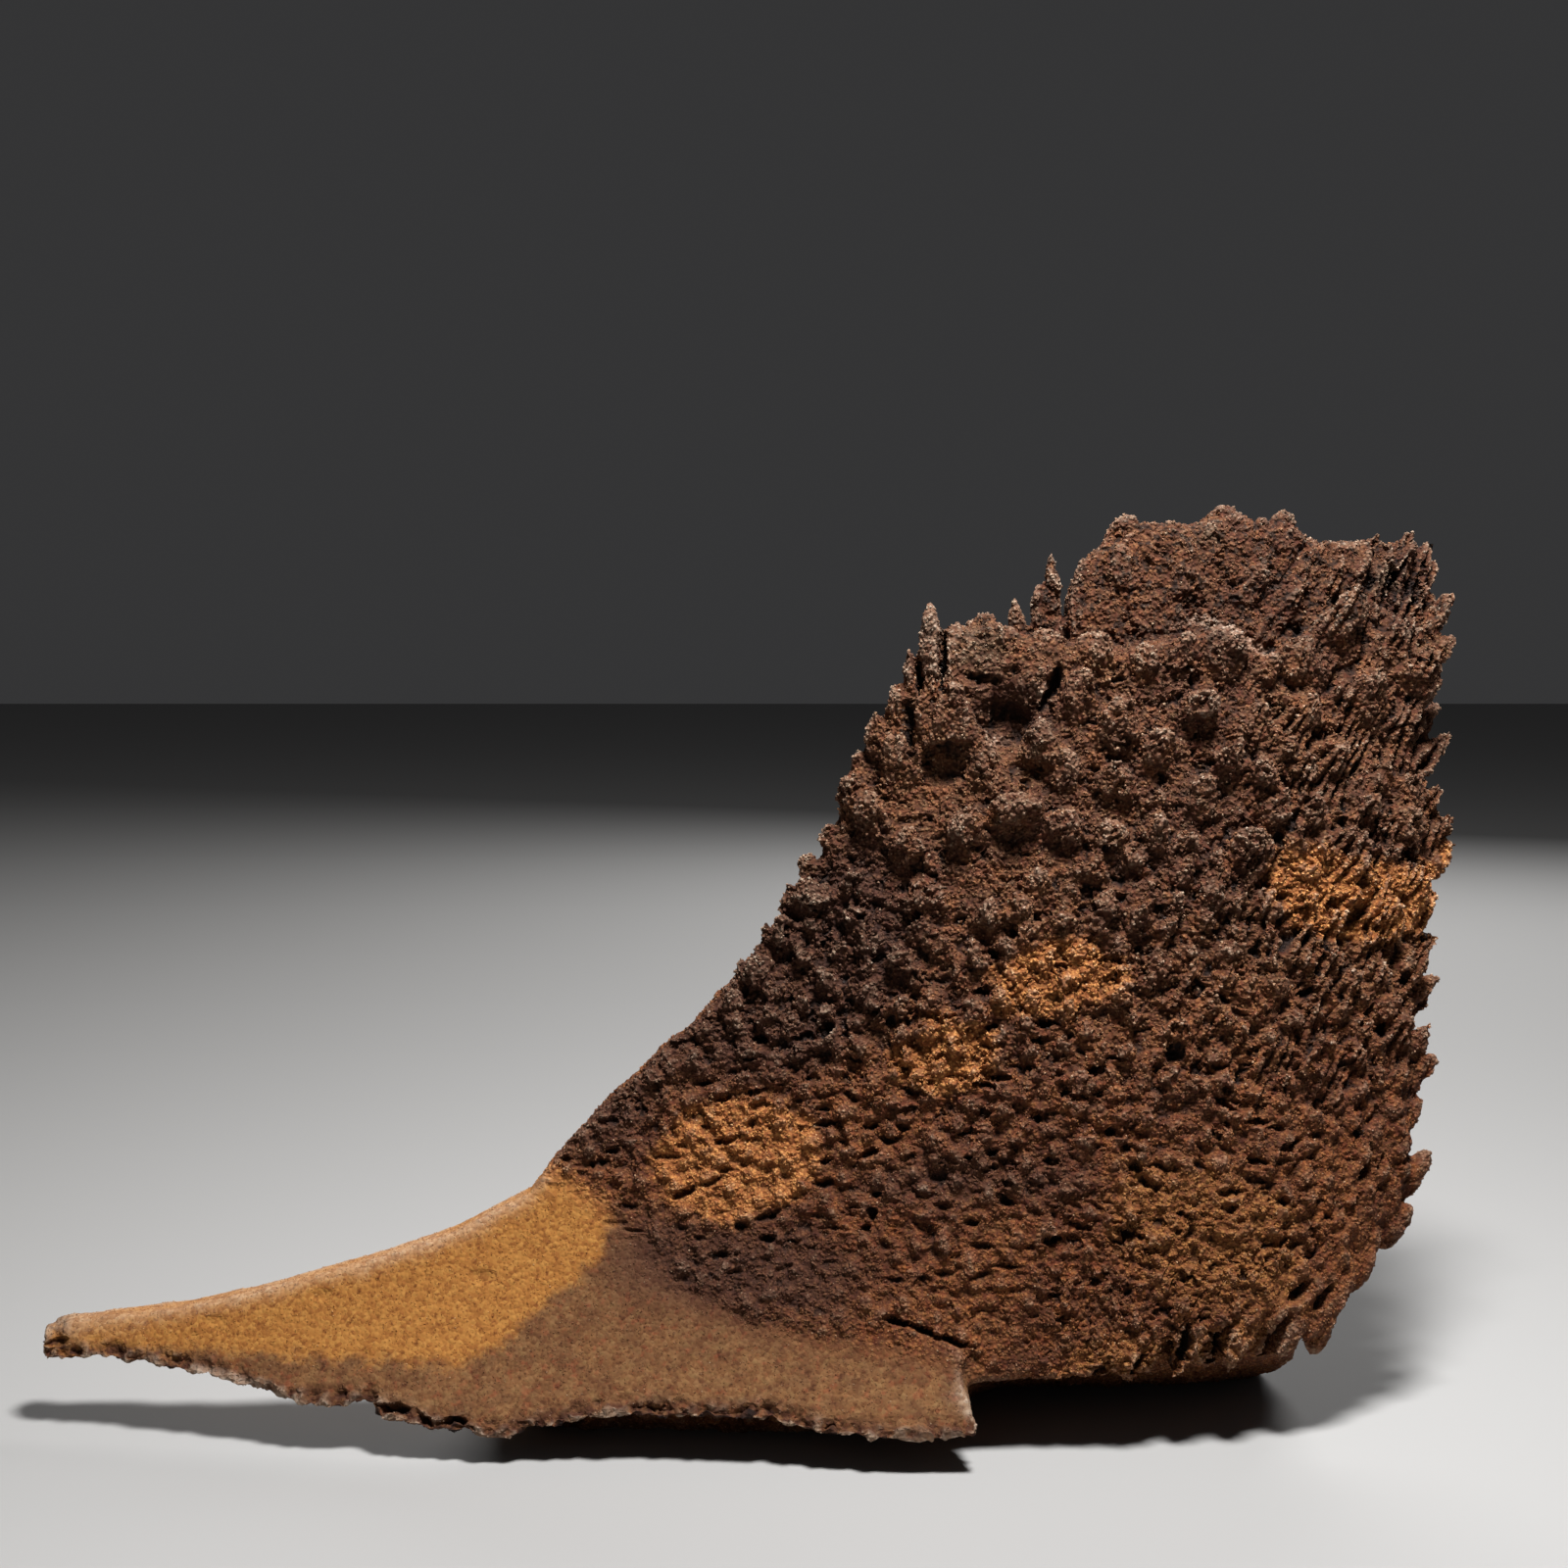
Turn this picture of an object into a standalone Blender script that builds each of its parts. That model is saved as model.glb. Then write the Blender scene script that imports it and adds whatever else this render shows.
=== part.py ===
"""Iron concretion: one curved plate of iron-cemented sandstone.

A thin smooth tongue lies low at the -X end and sweeps up into an upright fan whose face, on
the -Y side, is covered by overlapping scales that grow upwards.  A second layer stands a
little behind the fan and rises above its rim, and a rough heel at the back carries the
weight.  Lengths in this script are millimetres; the finished mesh is scaled to metres.
X runs along the plate, -Y is the scaled face, +Z is up and the heel rests on z = 0.
"""

import math
import random

import bmesh
import bpy
import numpy as np
from mathutils import Matrix, Vector, noise

NAME = "iron_concretion"
TO_METRES = 0.001
SEED = 7

# ---- driving dimensions, mm ------------------------------------------------------------
FAN_THICKNESS = 13.0
FAN_EDGE_THICKNESS = 8.0
TONGUE_THICKNESS = 7.0
LAYER_SETBACK = 7.5          # the rear layer's face stands this far behind the fan's face
LAYER_THICKNESS = 10.0
FACE_LEAN = 0.235            # how far the fan's face leans back per mm of height
SWEEP_DEPTH = 26.0           # how far the tongue's face sweeps back as it turns upright
SWEEP_HEIGHT = 35.0          # the height over which it does so
SCALE_SPACING = ((0.0, 4.6), (60.0, 4.9), (90.0, 5.4), (120.0, 6.8), (150.0, 8.5), (175.0, 10.0))
BARE_BELOW = 38.0            # below about this height the face is too fine for scales
RIDGE_SPACING = 12.0         # between the long low ridges on the rear
HEEL_HEIGHT = 62.0
HEEL_FLARE = 54.0            # how much thicker the heel is at the ground than at its top

MIDDLE = (-0.6, 3.8)         # middle of the finished footprint, moved to the origin

VOXEL = 1.25
MAX_TRIANGLES = 9600

# ---- outlines, as (x, z) ----------------------------------------------------------------
FAN_OUTLINE = (
    (-52, 49), (-44, 59), (-34, 69), (-23, 79), (-14, 87), (-3, 100), (6, 113), (11, 121),
    (16, 131), (21, 142), (26, 152), (31, 163), (36, 168), (54, 166), (72, 163), (96, 167),
    (107, 161), (121, 170), (129, 175), (141, 169), (148, 162), (144, 152), (146, 138),
    (143, 118), (141, 100), (138, 86), (136, 68), (137, 58), (134, 48), (125, 39), (116, 33),
    (108, 29), (98, 27), (88, 26), (80, 25), (76, 16.5), (57, 15.5), (41, 14.5), (20, 12),
    (-25, 14), (-40, 25),
)
LAYER_OUTLINE = (
    (66, 120), (62, 150), (64, 174), (67, 182), (77, 190), (93, 190), (101, 193), (108, 190),
    (115, 192), (119, 187), (137, 186), (147, 187), (152, 183), (152, 168), (146, 150),
    (141, 122), (110, 108),
)
TONGUE_OUTLINE = (
    (-156, 17.0), (-155, 20.8), (-137, 23.2), (-125, 25), (-108, 29), (-85, 35.5), (-68, 41),
    (-54, 48), (-45, 52), (-20, 40), (10, 31), (24, 27), (32, 25), (38.5, 22), (37.5, 17),
    (40, 10), (41, 8), (27, 6.8), (10, 7.5), (0, 9.5), (-33, 9.5), (-45, 7.5), (-56, 5.5),
    (-71, 6.8), (-80, 8), (-82, 10.3), (-92, 9), (-102, 10.5), (-111, 12), (-123, 13.8),
    (-141, 15.2), (-148, 14.4), (-154, 14.2),
)

# Scales with a place of their own: tip x, tip z, width, length, growth angle, taper.
FACE_SCALES = (
    (33, 173, 5.5, 24, 91, 0.35), (27, 163, 4.2, 15, 92, 0.3), (36.5, 168, 3.6, 18, 91, 0.2),
    (36, 157, 17, 28, 103, 0.62), (30, 154, 6, 14, 95, 0.3), (25, 155, 5, 12, 95, 0.4),
    (25, 146, 8.5, 14, 96, 0.2), (20, 133, 7, 14, 96, 0.2), (12.5, 130, 4, 11, 98, 0.4),
    (16.5, 137, 4.5, 10, 97, 0.3), (29, 124, 12, 11, 100, 0.1), (31, 115, 14, 11, 98, 0.1),
    (40, 129, 6.5, 13, 97, 0.4), (50, 134, 13, 18, 92, 0.15), (45, 144, 7.5, 15, 84, 0.35),
    (53, 122, 11, 14, 90, 0.2), (57, 149, 8.5, 15, 92, 0.3), (60, 141, 9, 14, 90, 0.2),
    (65, 158, 9, 17, 86, 0.25), (69, 167, 7, 13, 86, 0.2), (61, 167, 6, 12, 88, 0.2),
    (74, 154, 13, 19, 80, 0.3), (82, 147, 11, 15, 76, 0.2), (104, 152, 12, 17, 70, 0.25),
    (91, 137, 10, 14, 76, 0.2), (71, 128, 10, 13, 84, 0.2), (128, 177, 12, 22, 62, 0.3),
    (141, 170, 14, 20, 58, 0.3), (132, 159, 14, 19, 60, 0.25), (142, 152, 10, 16, 58, 0.3),
    (141, 136, 12, 18, 55, 0.3), (97, 168, 13, 15, 80, 0.15), (115, 166, 11, 16, 66, 0.2),
    (79, 165, 8, 12, 82, 0.2), (88, 167, 9, 13, 80, 0.2), (108, 163, 8, 12, 72, 0.2),
    (50, 170, 8, 10, 90, 0.1), (41, 169.5, 8, 11, 92, 0.1),
)
EDGE_TEETH = (
    (20.5, 149, 6, 15, 93, 0.2), (17, 142, 5.5, 14, 93, 0.2), (14.5, 136.5, 5, 12, 94, 0.2),
    (11, 126.5, 6, 14, 95, 0.2), (6.5, 120.5, 6, 14, 97, 0.2), (2.5, 113.5, 5.5, 12, 99, 0.2),
    (-2.5, 105, 5, 12, 104, 0.2), (-8, 97, 5, 11, 108, 0.2), (-15, 88.5, 5, 11, 112, 0.2),
    (-24, 79.5, 5, 11, 118, 0.2), (-34, 70.5, 5, 11, 122, 0.2), (-44, 61, 6, 12, 124, 0.2),
    (155, 177, 7, 17, 60, 0.4), (156, 167, 9, 20, 46, 0.4), (150, 152, 6, 14, 58, 0.4),
    (154, 145, 7.5, 20, 42, 0.35), (150, 134, 8, 16, 58, 0.3), (152, 127, 7, 16, 50, 0.3),
    (153.5, 121, 7, 20, 42, 0.4), (148, 111, 7, 16, 50, 0.3), (147, 102, 7, 15, 50, 0.3),
    (147, 93, 7, 15, 46, 0.3), (144, 83, 6, 14, 50, 0.3), (145, 76, 7, 15, 45, 0.3),
    (141, 67, 6, 12, 48, 0.3), (143, 56, 7, 15, 45, 0.3), (137, 46, 7, 13, 52, 0.3),
    (127, 38, 6, 12, 56, 0.3), (117, 28, 6, 12, 66, 0.3),
)
LAYER_TEETH = (
    (60, 185, 5.5, 22, 91, 0.5), (52, 175, 4.5, 14, 92, 0.3), (57, 178, 4.5, 16, 91, 0.3),
    (45, 172, 10, 12, 90, 0.2), (67, 184, 6, 16, 90, 0.2), (77, 193, 10, 14, 86, 0.1),
    (88, 192, 10, 12, 84, 0.1), (101, 196, 13, 16, 80, 0.2), (115, 195, 8, 14, 75, 0.2),
    (109, 193, 8, 12, 78, 0.1), (130, 188, 8, 12, 68, 0.1), (138, 189.5, 8, 16, 66, 0.2),
    (147, 191, 6.5, 18, 64, 0.35), (152.5, 188, 7, 20, 63, 0.3), (154.5, 183, 6, 16, 62, 0.3),
)
# Flutes on the rear layer's face: tip x, tip z, width, length, growth angle, taper.
LAYER_FLUTES = (
    (119, 184, 5, 30, 64, 0.1), (127, 185, 6, 34, 64, 0.1), (134, 186, 5, 30, 63, 0.1),
    (140, 187, 6, 34, 63, 0.1), (146, 188, 5, 30, 62, 0.1), (151, 184, 6, 32, 61, 0.1),
    (108, 186, 8, 24, 70, 0.1), (76, 188, 10, 22, 86, 0.1), (90, 188, 12, 24, 82, 0.1),
)
# Claws along the lower right edge, parted by slits: foot x, foot z, width, length, angle.
CLAWS = ((82, 15.0, 7.5, 26, 72), (93, 15.0, 9, 26, 70), (104.5, 17.0, 8.5, 26, 66),
         (114.5, 23, 6.5, 20, 60))
# Pits in the face: x, z, radius, depth.
HOLLOWS = ((49, 152, 8, 6.0), (46, 160, 9, 3.0), (31, 132, 7, 2.5), (112, 158, 7, 2.5))

HEEL_OUTLINE = (
    (-46, -5), (-56, 8), (-50, 24), (-34, 42), (-6, 56), (36, 62), (76, 54), (100, 38),
    (109, 22), (112, 6), (104, -5),
)


# ---- the form of the face ---------------------------------------------------------------
def ease(low, high, value):
    t = min(1.0, max(0.0, (value - low) / (high - low)))
    return t * t * (3.0 - 2.0 * t)


def table(points, value):
    """Linear look-up in a short list of (value, result)."""
    if value <= points[0][0]:
        return points[0][1]
    for (a, at_a), (b, at_b) in zip(points, points[1:]):
        if value <= b:
            return at_a + (at_b - at_a) * (value - a) / (b - a)
    return points[-1][1]


def front_edge(x):
    """Depth of the plate's lower front edge, as seen in plan."""
    if x < -65.0:
        return -38.0 + 13.0 * min(1.0, (-65.0 - x) / 87.0) ** 1.3
    return -38.0 - 8.0 * min(1.0, (x + 65.0) / 104.0)


def sweep_y(x, z):
    """The tongue's face: low slope at its front edge, steeper as it rises."""
    rise = max(0.0, z - 6.0)
    curve = SWEEP_DEPTH * (1.0 - math.exp(-rise / SWEEP_HEIGHT))
    return front_edge(x) + curve + 0.176 * rise


def hollow_depth(x, z):
    total = 0.0
    for hx, hz, radius, depth in HOLLOWS:
        total += depth * math.exp(-((x - hx) ** 2 + (z - hz) ** 2) / radius**2)
    return total


def face_y(x, z):
    """The fan's face: the sweep at -X turning into a plain lean that bends back at +X."""
    lean = -36.0 + FACE_LEAN * z
    share = ease(5.0, 55.0, x)
    bend = 0.004 * max(0.0, x - 70.0) ** 2
    return sweep_y(x, z) * (1.0 - share) + lean * share + bend + hollow_depth(x, z)


def left_edge(z):
    return table(((15, -48), (50, -52), (80, -24), (114, 4), (150, 23), (190, 62)), z)


def across(x, z):
    """0 at the fan's left edge, 1 at its right edge."""
    return (x - left_edge(z)) / (146.0 - left_edge(z))


def growth_angle(x, z):
    """Direction of growth in the face, degrees from +X: upright at left, fanning to +X."""
    low_claws = 22.0 * (1.0 - ease(15.0, 60.0, z))
    return 97.0 - 46.0 * ease(0.25, 1.0, across(x, z)) + low_claws * ease(0.5, 1.0, across(x, z))


def face_frame(x, z, surface):
    """Point, outward normal and the two in-face directions of a surface y = f(x, z)."""
    step = 0.5
    dx = (surface(x + step, z) - surface(x - step, z)) / (2.0 * step)
    dz = (surface(x, z + step) - surface(x, z - step)) / (2.0 * step)
    point = Vector((x, surface(x, z), z))
    normal = Vector((dx, -1.0, dz)).normalized()
    return point, normal, Vector((1.0, dx, 0.0)), Vector((0.0, dz, 1.0))


def rough(x, y, z, cell):
    """Smooth unevenness between -1 and 1 with the given cell size."""
    return noise.noise(Vector((x, y, z)) / cell)


# ---- building blocks --------------------------------------------------------------------
def apply_modifiers(ob):
    """Replace the object's mesh by what its modifiers make of it."""
    depsgraph = bpy.context.evaluated_depsgraph_get()
    made = bpy.data.meshes.new_from_object(ob.evaluated_get(depsgraph))
    ob.modifiers.clear()
    old = ob.data
    ob.data = made
    bpy.data.meshes.remove(old)


def voxel_skin(ob, size):
    remesh = ob.modifiers.new("even skin", "REMESH")
    remesh.mode = "VOXEL"
    remesh.voxel_size = size
    apply_modifiers(ob)


def new_object(name, mesh):
    ob = bpy.data.objects.new(name, mesh)
    bpy.context.scene.collection.objects.link(ob)
    return ob


def plate(name, outline, surface, thickness, rear_roughness=1.2):
    """A slab with the given (x, z) outline whose front follows y = surface(x, z)."""
    curve = bpy.data.curves.new(name + " outline", "CURVE")
    curve.dimensions = "2D"
    curve.fill_mode = "BOTH"
    curve.extrude = 4.0
    spline = curve.splines.new("POLY")
    spline.points.add(len(outline) - 1)
    for point, (x, z) in zip(spline.points, outline):
        point.co = (x, z, 0.0, 1.0)
    spline.use_cyclic_u = True
    flat = new_object(name + " outline", curve)
    depsgraph = bpy.context.evaluated_depsgraph_get()
    slab = new_object(name, bpy.data.meshes.new_from_object(flat.evaluated_get(depsgraph)))
    bpy.data.objects.remove(flat)
    # The curve is drawn in its own XY plane: stand it up, +Z of the curve towards -Y.
    slab.data.transform(Matrix.Rotation(math.radians(90.0), 4, "X"))
    voxel_skin(slab, 1.6)
    for vertex in slab.data.vertices:
        x, y, z = vertex.co
        share = (y + 4.0) / 8.0
        uneven = rear_roughness * (rough(x, y, z, 16.0) + 0.6 * rough(z, x, y, 7.0))
        vertex.co.y = surface(x, z) + share * (thickness(x, z) + uneven)
        vertex.co.x += share * 0.8 * rear_roughness * rough(y, vertex.co.y, z, 11.0)
    return slab


def add_scale(bm, point, along, normal, width, length, depth, taper):
    """A rounded scale centred on point.  Its long axis is along; towards its tip it gets
    narrower and thicker, like a hood, so that its root is lost in what lies below it."""
    side = along.cross(normal).normalized()
    out = side.cross(along).normalized()
    made = bmesh.ops.create_icosphere(bm, subdivisions=2, radius=1.0)
    for vertex in made["verts"]:
        a, b, c = vertex.co
        slim = 1.0 - taper * max(0.0, c + 0.3) / 1.3
        thick = 0.45 + 0.275 * (c + 1.0)
        vertex.co = (
            point
            + side * (a * slim * width / 2.0)
            + out * (b * thick * depth / 2.0)
            + along * (c * length / 2.0)
        )


def grow(bm, tip_x, tip_z, width, length, angle, taper, surface, tilt, proud):
    """Set a scale with its tip at (tip_x, tip_z), rooted below it and leaning out."""
    turn = math.radians(angle)
    reach = length * math.cos(math.radians(tilt)) / 2.0
    x = tip_x - math.cos(turn) * reach
    z = tip_z - math.sin(turn) * reach
    point, normal, right, up = face_frame(x, z, surface)
    growth = (right * math.cos(turn) + up * math.sin(turn)).normalized()
    lean = math.radians(tilt)
    along = growth * math.cos(lean) + normal * math.sin(lean)
    depth = 0.85 * width
    add_scale(bm, point + normal * proud, along, normal, width, length, depth, taper)


def inside(outline, x, z):
    """Even-odd test of a point against an outline."""
    hit = False
    for (ax, az), (bx, bz) in zip(outline, outline[1:] + outline[:1]):
        if (az > z) != (bz > z) and x < (bx - ax) * (z - az) / (bz - az) + ax:
            hit = not hit
    return hit


def scattered(rng, outline, spacing, tries):
    """Points inside an outline, no two closer than the spacing there; rows lie closer
    together than the points of one row."""
    kept = np.zeros((tries, 2))
    count = 0
    lowest = min(z for _, z in outline)
    highest = max(z for _, z in outline)
    for _ in range(tries):
        x = rng.uniform(-60.0, 156.0)
        z = rng.uniform(lowest, highest)
        if not inside(outline, x, z):
            continue
        apart = (kept[:count] - (x, z)) * (0.85, 1.2)
        if count == 0 or (apart**2).sum(axis=1).min() > spacing(x, z) ** 2:
            kept[count] = (x, z)
            count += 1
    return [(float(x), float(z)) for x, z in kept[:count]]


def scale_spacing(x, z):
    return table(SCALE_SPACING, z) * (1.0 + 0.3 * ease(0.75, 1.0, across(x, z)))


# ---- the parts of the form ----------------------------------------------------------------
def fan_thickness(x, z):
    from_edge = min(ease(0.0, 0.2, across(x, z)), ease(0.0, 0.15, 1.0 - across(x, z)))
    return FAN_EDGE_THICKNESS + (FAN_THICKNESS - FAN_EDGE_THICKNESS) * from_edge


def layer_y(x, z):
    return face_y(x, z) - hollow_depth(x, z) + LAYER_SETBACK


def layer_thickness(x, z):
    """Full at the rim, thinning downwards until the layer is lost in the fan's rear."""
    return 5.0 + (LAYER_THICKNESS - 5.0) * ease(108.0, 150.0, z)


def rear_y(x, z):
    deep = fan_thickness(x, z)
    if inside(LAYER_OUTLINE, x, z):
        deep = max(deep, LAYER_SETBACK + layer_thickness(x, z))
    return face_y(x, z) - hollow_depth(x, z) + deep


def heel_y(x, z):
    """The heel's front stays behind the plate and is cut under towards the ground."""
    undercut = 18.0 + 20.0 * ease(28.0, 50.0, x)
    return face_y(x, z) + 4.0 + undercut * max(0.0, 1.0 - z / 18.0)


def heel_thickness(x, z):
    low = max(0.0, 1.0 - max(0.0, z) / HEEL_HEIGHT)
    ends = ease(-64.0, -12.0, x) * (1.0 - ease(78.0, 122.0, x))
    flare = HEEL_FLARE * (0.55 + 0.45 * ends) * low**1.6
    return max(4.0, face_y(x, z) + FAN_EDGE_THICKNESS + flare - heel_y(x, z))


def add_face_scales(bm, rng):
    named = FACE_SCALES + EDGE_TEETH
    for x, z, width, length, angle, taper in FACE_SCALES:
        grow(bm, x, z, width, 1.15 * length, angle, taper, face_y, 22.0, -0.2 * width)
    for x, z, width, length, angle, taper in EDGE_TEETH:
        grow(bm, x, z, width, length, angle, taper, face_y, 10.0, -0.4 * width)
    for x, z in scattered(rng, FAN_OUTLINE, scale_spacing, 9000):
        if z < BARE_BELOW + 12.0 * rough(x, 0.0, z, 15.0):
            continue
        gap = scale_spacing(x, z)
        if any((x - n[0]) ** 2 + (z - n[1]) ** 2 < (0.33 * (gap + n[2])) ** 2 for n in named):
            continue
        width = gap * (1.25 + 0.8 * rng.random() ** 2)
        length = gap * rng.uniform(2.1, 2.8)
        angle = growth_angle(x, z) + rng.uniform(-12.0, 12.0)
        tilt = rng.uniform(24.0, 36.0)
        sunk = gap * rng.uniform(-0.36, -0.2)
        grow(bm, x, z, width, length, angle, rng.uniform(0.1, 0.5), face_y, tilt, sunk)


def add_claws(bm):
    for x, z, width, length, angle in CLAWS:
        turn = math.radians(angle)
        x += math.cos(turn) * length / 2.0
        z += math.sin(turn) * length / 2.0
        point, normal, right, up = face_frame(x, z, face_y)
        along = -(right * math.cos(turn) + up * math.sin(turn)).normalized()
        add_scale(bm, point - normal * 2.5, along, normal, width, length, 9.0, 0.25)


def add_layer_teeth(bm):
    for x, z, width, length, angle, taper in LAYER_TEETH:
        grow(bm, x, z, width, length, angle, taper, layer_y, 6.0, -0.35 * width)
    for x, z, width, length, angle, taper in LAYER_FLUTES:
        grow(bm, x, z, width, length, angle, taper, layer_y, 7.0, -0.12 * width)


def add_rear_ridges(bm, rng):
    """Long low ridges that follow the growth on the plate's rear."""
    places = scattered(rng, FAN_OUTLINE, lambda x, z: RIDGE_SPACING, 1500)
    places += scattered(rng, LAYER_OUTLINE, lambda x, z: RIDGE_SPACING, 700)
    for x, z in places:
        if z < 45.0 or not 0.12 < across(x, z) < 0.93:
            continue
        width = RIDGE_SPACING * rng.uniform(0.8, 1.3)
        length = RIDGE_SPACING * rng.uniform(1.8, 3.2)
        turn = math.radians(growth_angle(x, z) + rng.uniform(-10.0, 10.0))
        if z + 0.5 * length > 172.0 + 14.0 * ease(70.0, 76.0, x):
            continue
        along = Vector((math.cos(turn), 0.25, math.sin(turn))).normalized()
        centre = Vector((x, rear_y(x, z) - 1.0, z))
        add_scale(bm, centre, along, Vector((0, 1, 0)), width, length, 0.6 * width, 0.2)


def keep_largest_shell(mesh):
    """Drop the small closed shells left inside the skin."""
    bm = bmesh.new()
    bm.from_mesh(mesh)
    unseen = set(bm.verts)
    shells = []
    while unseen:
        stack = [unseen.pop()]
        shell = []
        while stack:
            vertex = stack.pop()
            shell.append(vertex)
            for edge in vertex.link_edges:
                other = edge.other_vert(vertex)
                if other in unseen:
                    unseen.remove(other)
                    stack.append(other)
        shells.append(shell)
    shells.sort(key=len)
    for shell in shells[:-1]:
        bmesh.ops.delete(bm, geom=shell, context="VERTS")
    bm.to_mesh(mesh)
    bm.free()


def join(target, others):
    """Merge the meshes of other objects into the target's mesh."""
    bm = bmesh.new()
    bm.from_mesh(target.data)
    for ob in others:
        bm.from_mesh(ob.data)
        bpy.data.objects.remove(ob)
    bm.to_mesh(target.data)
    bm.free()


def stone_material():
    material = bpy.data.materials.new("rusty sandstone crust")
    material.use_nodes = True
    shader = material.node_tree.nodes["Principled BSDF"]
    shader.inputs["Base Color"].default_value = (0.115, 0.058, 0.029, 1.0)
    shader.inputs["Roughness"].default_value = 0.92
    shader.inputs["Metallic"].default_value = 0.0
    return material


def main():
    for ob in list(bpy.data.objects):
        bpy.data.objects.remove(ob)
    stone = bpy.data.collections.new(NAME)
    cutters = bpy.data.collections.new("cutters")
    bpy.context.scene.collection.children.link(stone)
    bpy.context.scene.collection.children.link(cutters)

    rng = random.Random(SEED)
    fan = plate("fan", FAN_OUTLINE, face_y, fan_thickness)
    layer = plate("rear layer", LAYER_OUTLINE, layer_y, layer_thickness)
    tongue = plate("tongue", TONGUE_OUTLINE, sweep_y, lambda x, z: TONGUE_THICKNESS)
    heel = plate("heel", HEEL_OUTLINE, heel_y, heel_thickness, 4.0)

    bm = bmesh.new()
    add_face_scales(bm, rng)
    add_claws(bm)
    add_layer_teeth(bm)
    add_rear_ridges(bm, rng)
    lumps = new_object("lumps", bpy.data.meshes.new("lumps"))
    bm.to_mesh(lumps.data)
    bm.free()

    join(fan, [layer, tongue, heel, lumps])
    voxel_skin(fan, VOXEL)
    keep_largest_shell(fan.data)

    decimate = fan.modifiers.new("fewer faces", "DECIMATE")
    decimate.ratio = MAX_TRIANGLES / (2.0 * len(fan.data.polygons))
    decimate.use_collapse_triangulate = True
    apply_modifiers(fan)

    fan.data.transform(Matrix.Translation((-MIDDLE[0], -MIDDLE[1], 0.0)))
    fan.data.transform(Matrix.Scale(TO_METRES, 4))
    fan.name = NAME
    fan.data.name = NAME
    fan.data.materials.clear()
    fan.data.materials.append(stone_material())
    bpy.context.scene.collection.objects.unlink(fan)
    stone.objects.link(fan)

    bpy.ops.mesh.primitive_cube_add(size=1.0, location=(0.0, 0.0, -0.05))
    ground = bpy.context.object
    ground.name = "ground cutter"
    ground.dimensions = (0.6, 0.4, 0.1)
    for collection in list(ground.users_collection):
        collection.objects.unlink(ground)
    cutters.objects.link(ground)
    ground.display_type = "WIRE"
    ground.hide_render = True
    flat = fan.modifiers.new("flat base", "BOOLEAN")
    flat.operation = "DIFFERENCE"
    flat.solver = "EXACT"
    flat.object = ground


main()
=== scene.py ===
"""Looks of the iron concretion: its scaly crust, its rust stains and the sand that clings to it.

The crust is grown again at full fineness from the stone's own dimensions and stands for the
plain solid.  Lengths in the growing functions are millimetres; the meshes are in metres.
"""

import contextlib
import functools
import math
import random

import bmesh
import bpy
import numpy as np
from mathutils import Matrix, Vector, noise


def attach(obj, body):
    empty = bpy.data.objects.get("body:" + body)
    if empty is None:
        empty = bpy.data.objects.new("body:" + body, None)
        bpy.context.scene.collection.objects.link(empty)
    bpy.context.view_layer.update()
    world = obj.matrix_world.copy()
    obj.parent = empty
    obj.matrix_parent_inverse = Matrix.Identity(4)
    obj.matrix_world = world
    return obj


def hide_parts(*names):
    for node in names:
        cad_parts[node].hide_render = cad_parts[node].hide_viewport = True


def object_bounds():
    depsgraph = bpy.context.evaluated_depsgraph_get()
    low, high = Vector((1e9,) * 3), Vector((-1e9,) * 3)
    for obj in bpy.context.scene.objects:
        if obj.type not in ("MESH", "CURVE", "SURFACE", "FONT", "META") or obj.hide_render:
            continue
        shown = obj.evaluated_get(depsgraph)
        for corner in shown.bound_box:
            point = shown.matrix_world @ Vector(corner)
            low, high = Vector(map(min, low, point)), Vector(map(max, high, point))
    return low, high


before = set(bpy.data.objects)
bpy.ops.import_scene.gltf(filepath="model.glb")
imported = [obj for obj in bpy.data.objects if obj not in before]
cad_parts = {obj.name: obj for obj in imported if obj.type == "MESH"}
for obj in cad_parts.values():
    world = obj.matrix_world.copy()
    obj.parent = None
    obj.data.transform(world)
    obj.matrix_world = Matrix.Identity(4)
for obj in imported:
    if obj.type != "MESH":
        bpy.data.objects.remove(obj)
SOLID_LOW, SOLID_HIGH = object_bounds()

STONE = "iron_concretion"
TO_METRES = 0.001
SEED = 7

# ---- driving dimensions, mm ----
FAN_THICKNESS = 13.0
FAN_EDGE_THICKNESS = 8.0
TONGUE_THICKNESS = 7.0
LAYER_SETBACK = 7.5          # the rear layer's face stands this far behind the fan's face
LAYER_THICKNESS = 10.0
LAYER_FOOT_THICKNESS = 5.0
FACE_LEAN = 0.235            # how far the fan's face leans back per mm of height
SWEEP_DEPTH = 26.0           # how far the tongue's face sweeps back as it turns upright
SWEEP_HEIGHT = 35.0          # the height over which it does so
# How far apart the scales of the face are, as (height, distance).
SCALE_SPACING = ((20, 2.7), (50, 3.2), (75, 4.1), (100, 5.2), (125, 6.6), (150, 8.2), (175, 9.5))
BARE_BELOW = 20.0            # below about this height the crust is plain sand
RIDGE_SPACING = 12.0         # between the long low ridges on the rear
HEEL_HEIGHT = 62.0
HEEL_FLARE = 54.0            # how much thicker the heel is at the ground than at its top
SLAB_HALF = 4.0              # half the depth of a plate before it is bent to its faces

MIDDLE = (-0.6, 3.8)         # middle of the finished footprint, moved to the origin

SLAB_VOXEL = 1.6             # of each plate before they are joined
VOXEL = 0.62                 # of the joined crust
CRUST_TRIANGLES = 384000
RELIEF_ROUNDS = (12, 60)     # rounds of smoothing that tell small relief, and large
LARGE_RELIEF = 0.6           # share of the large relief in the value for the materials

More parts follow.
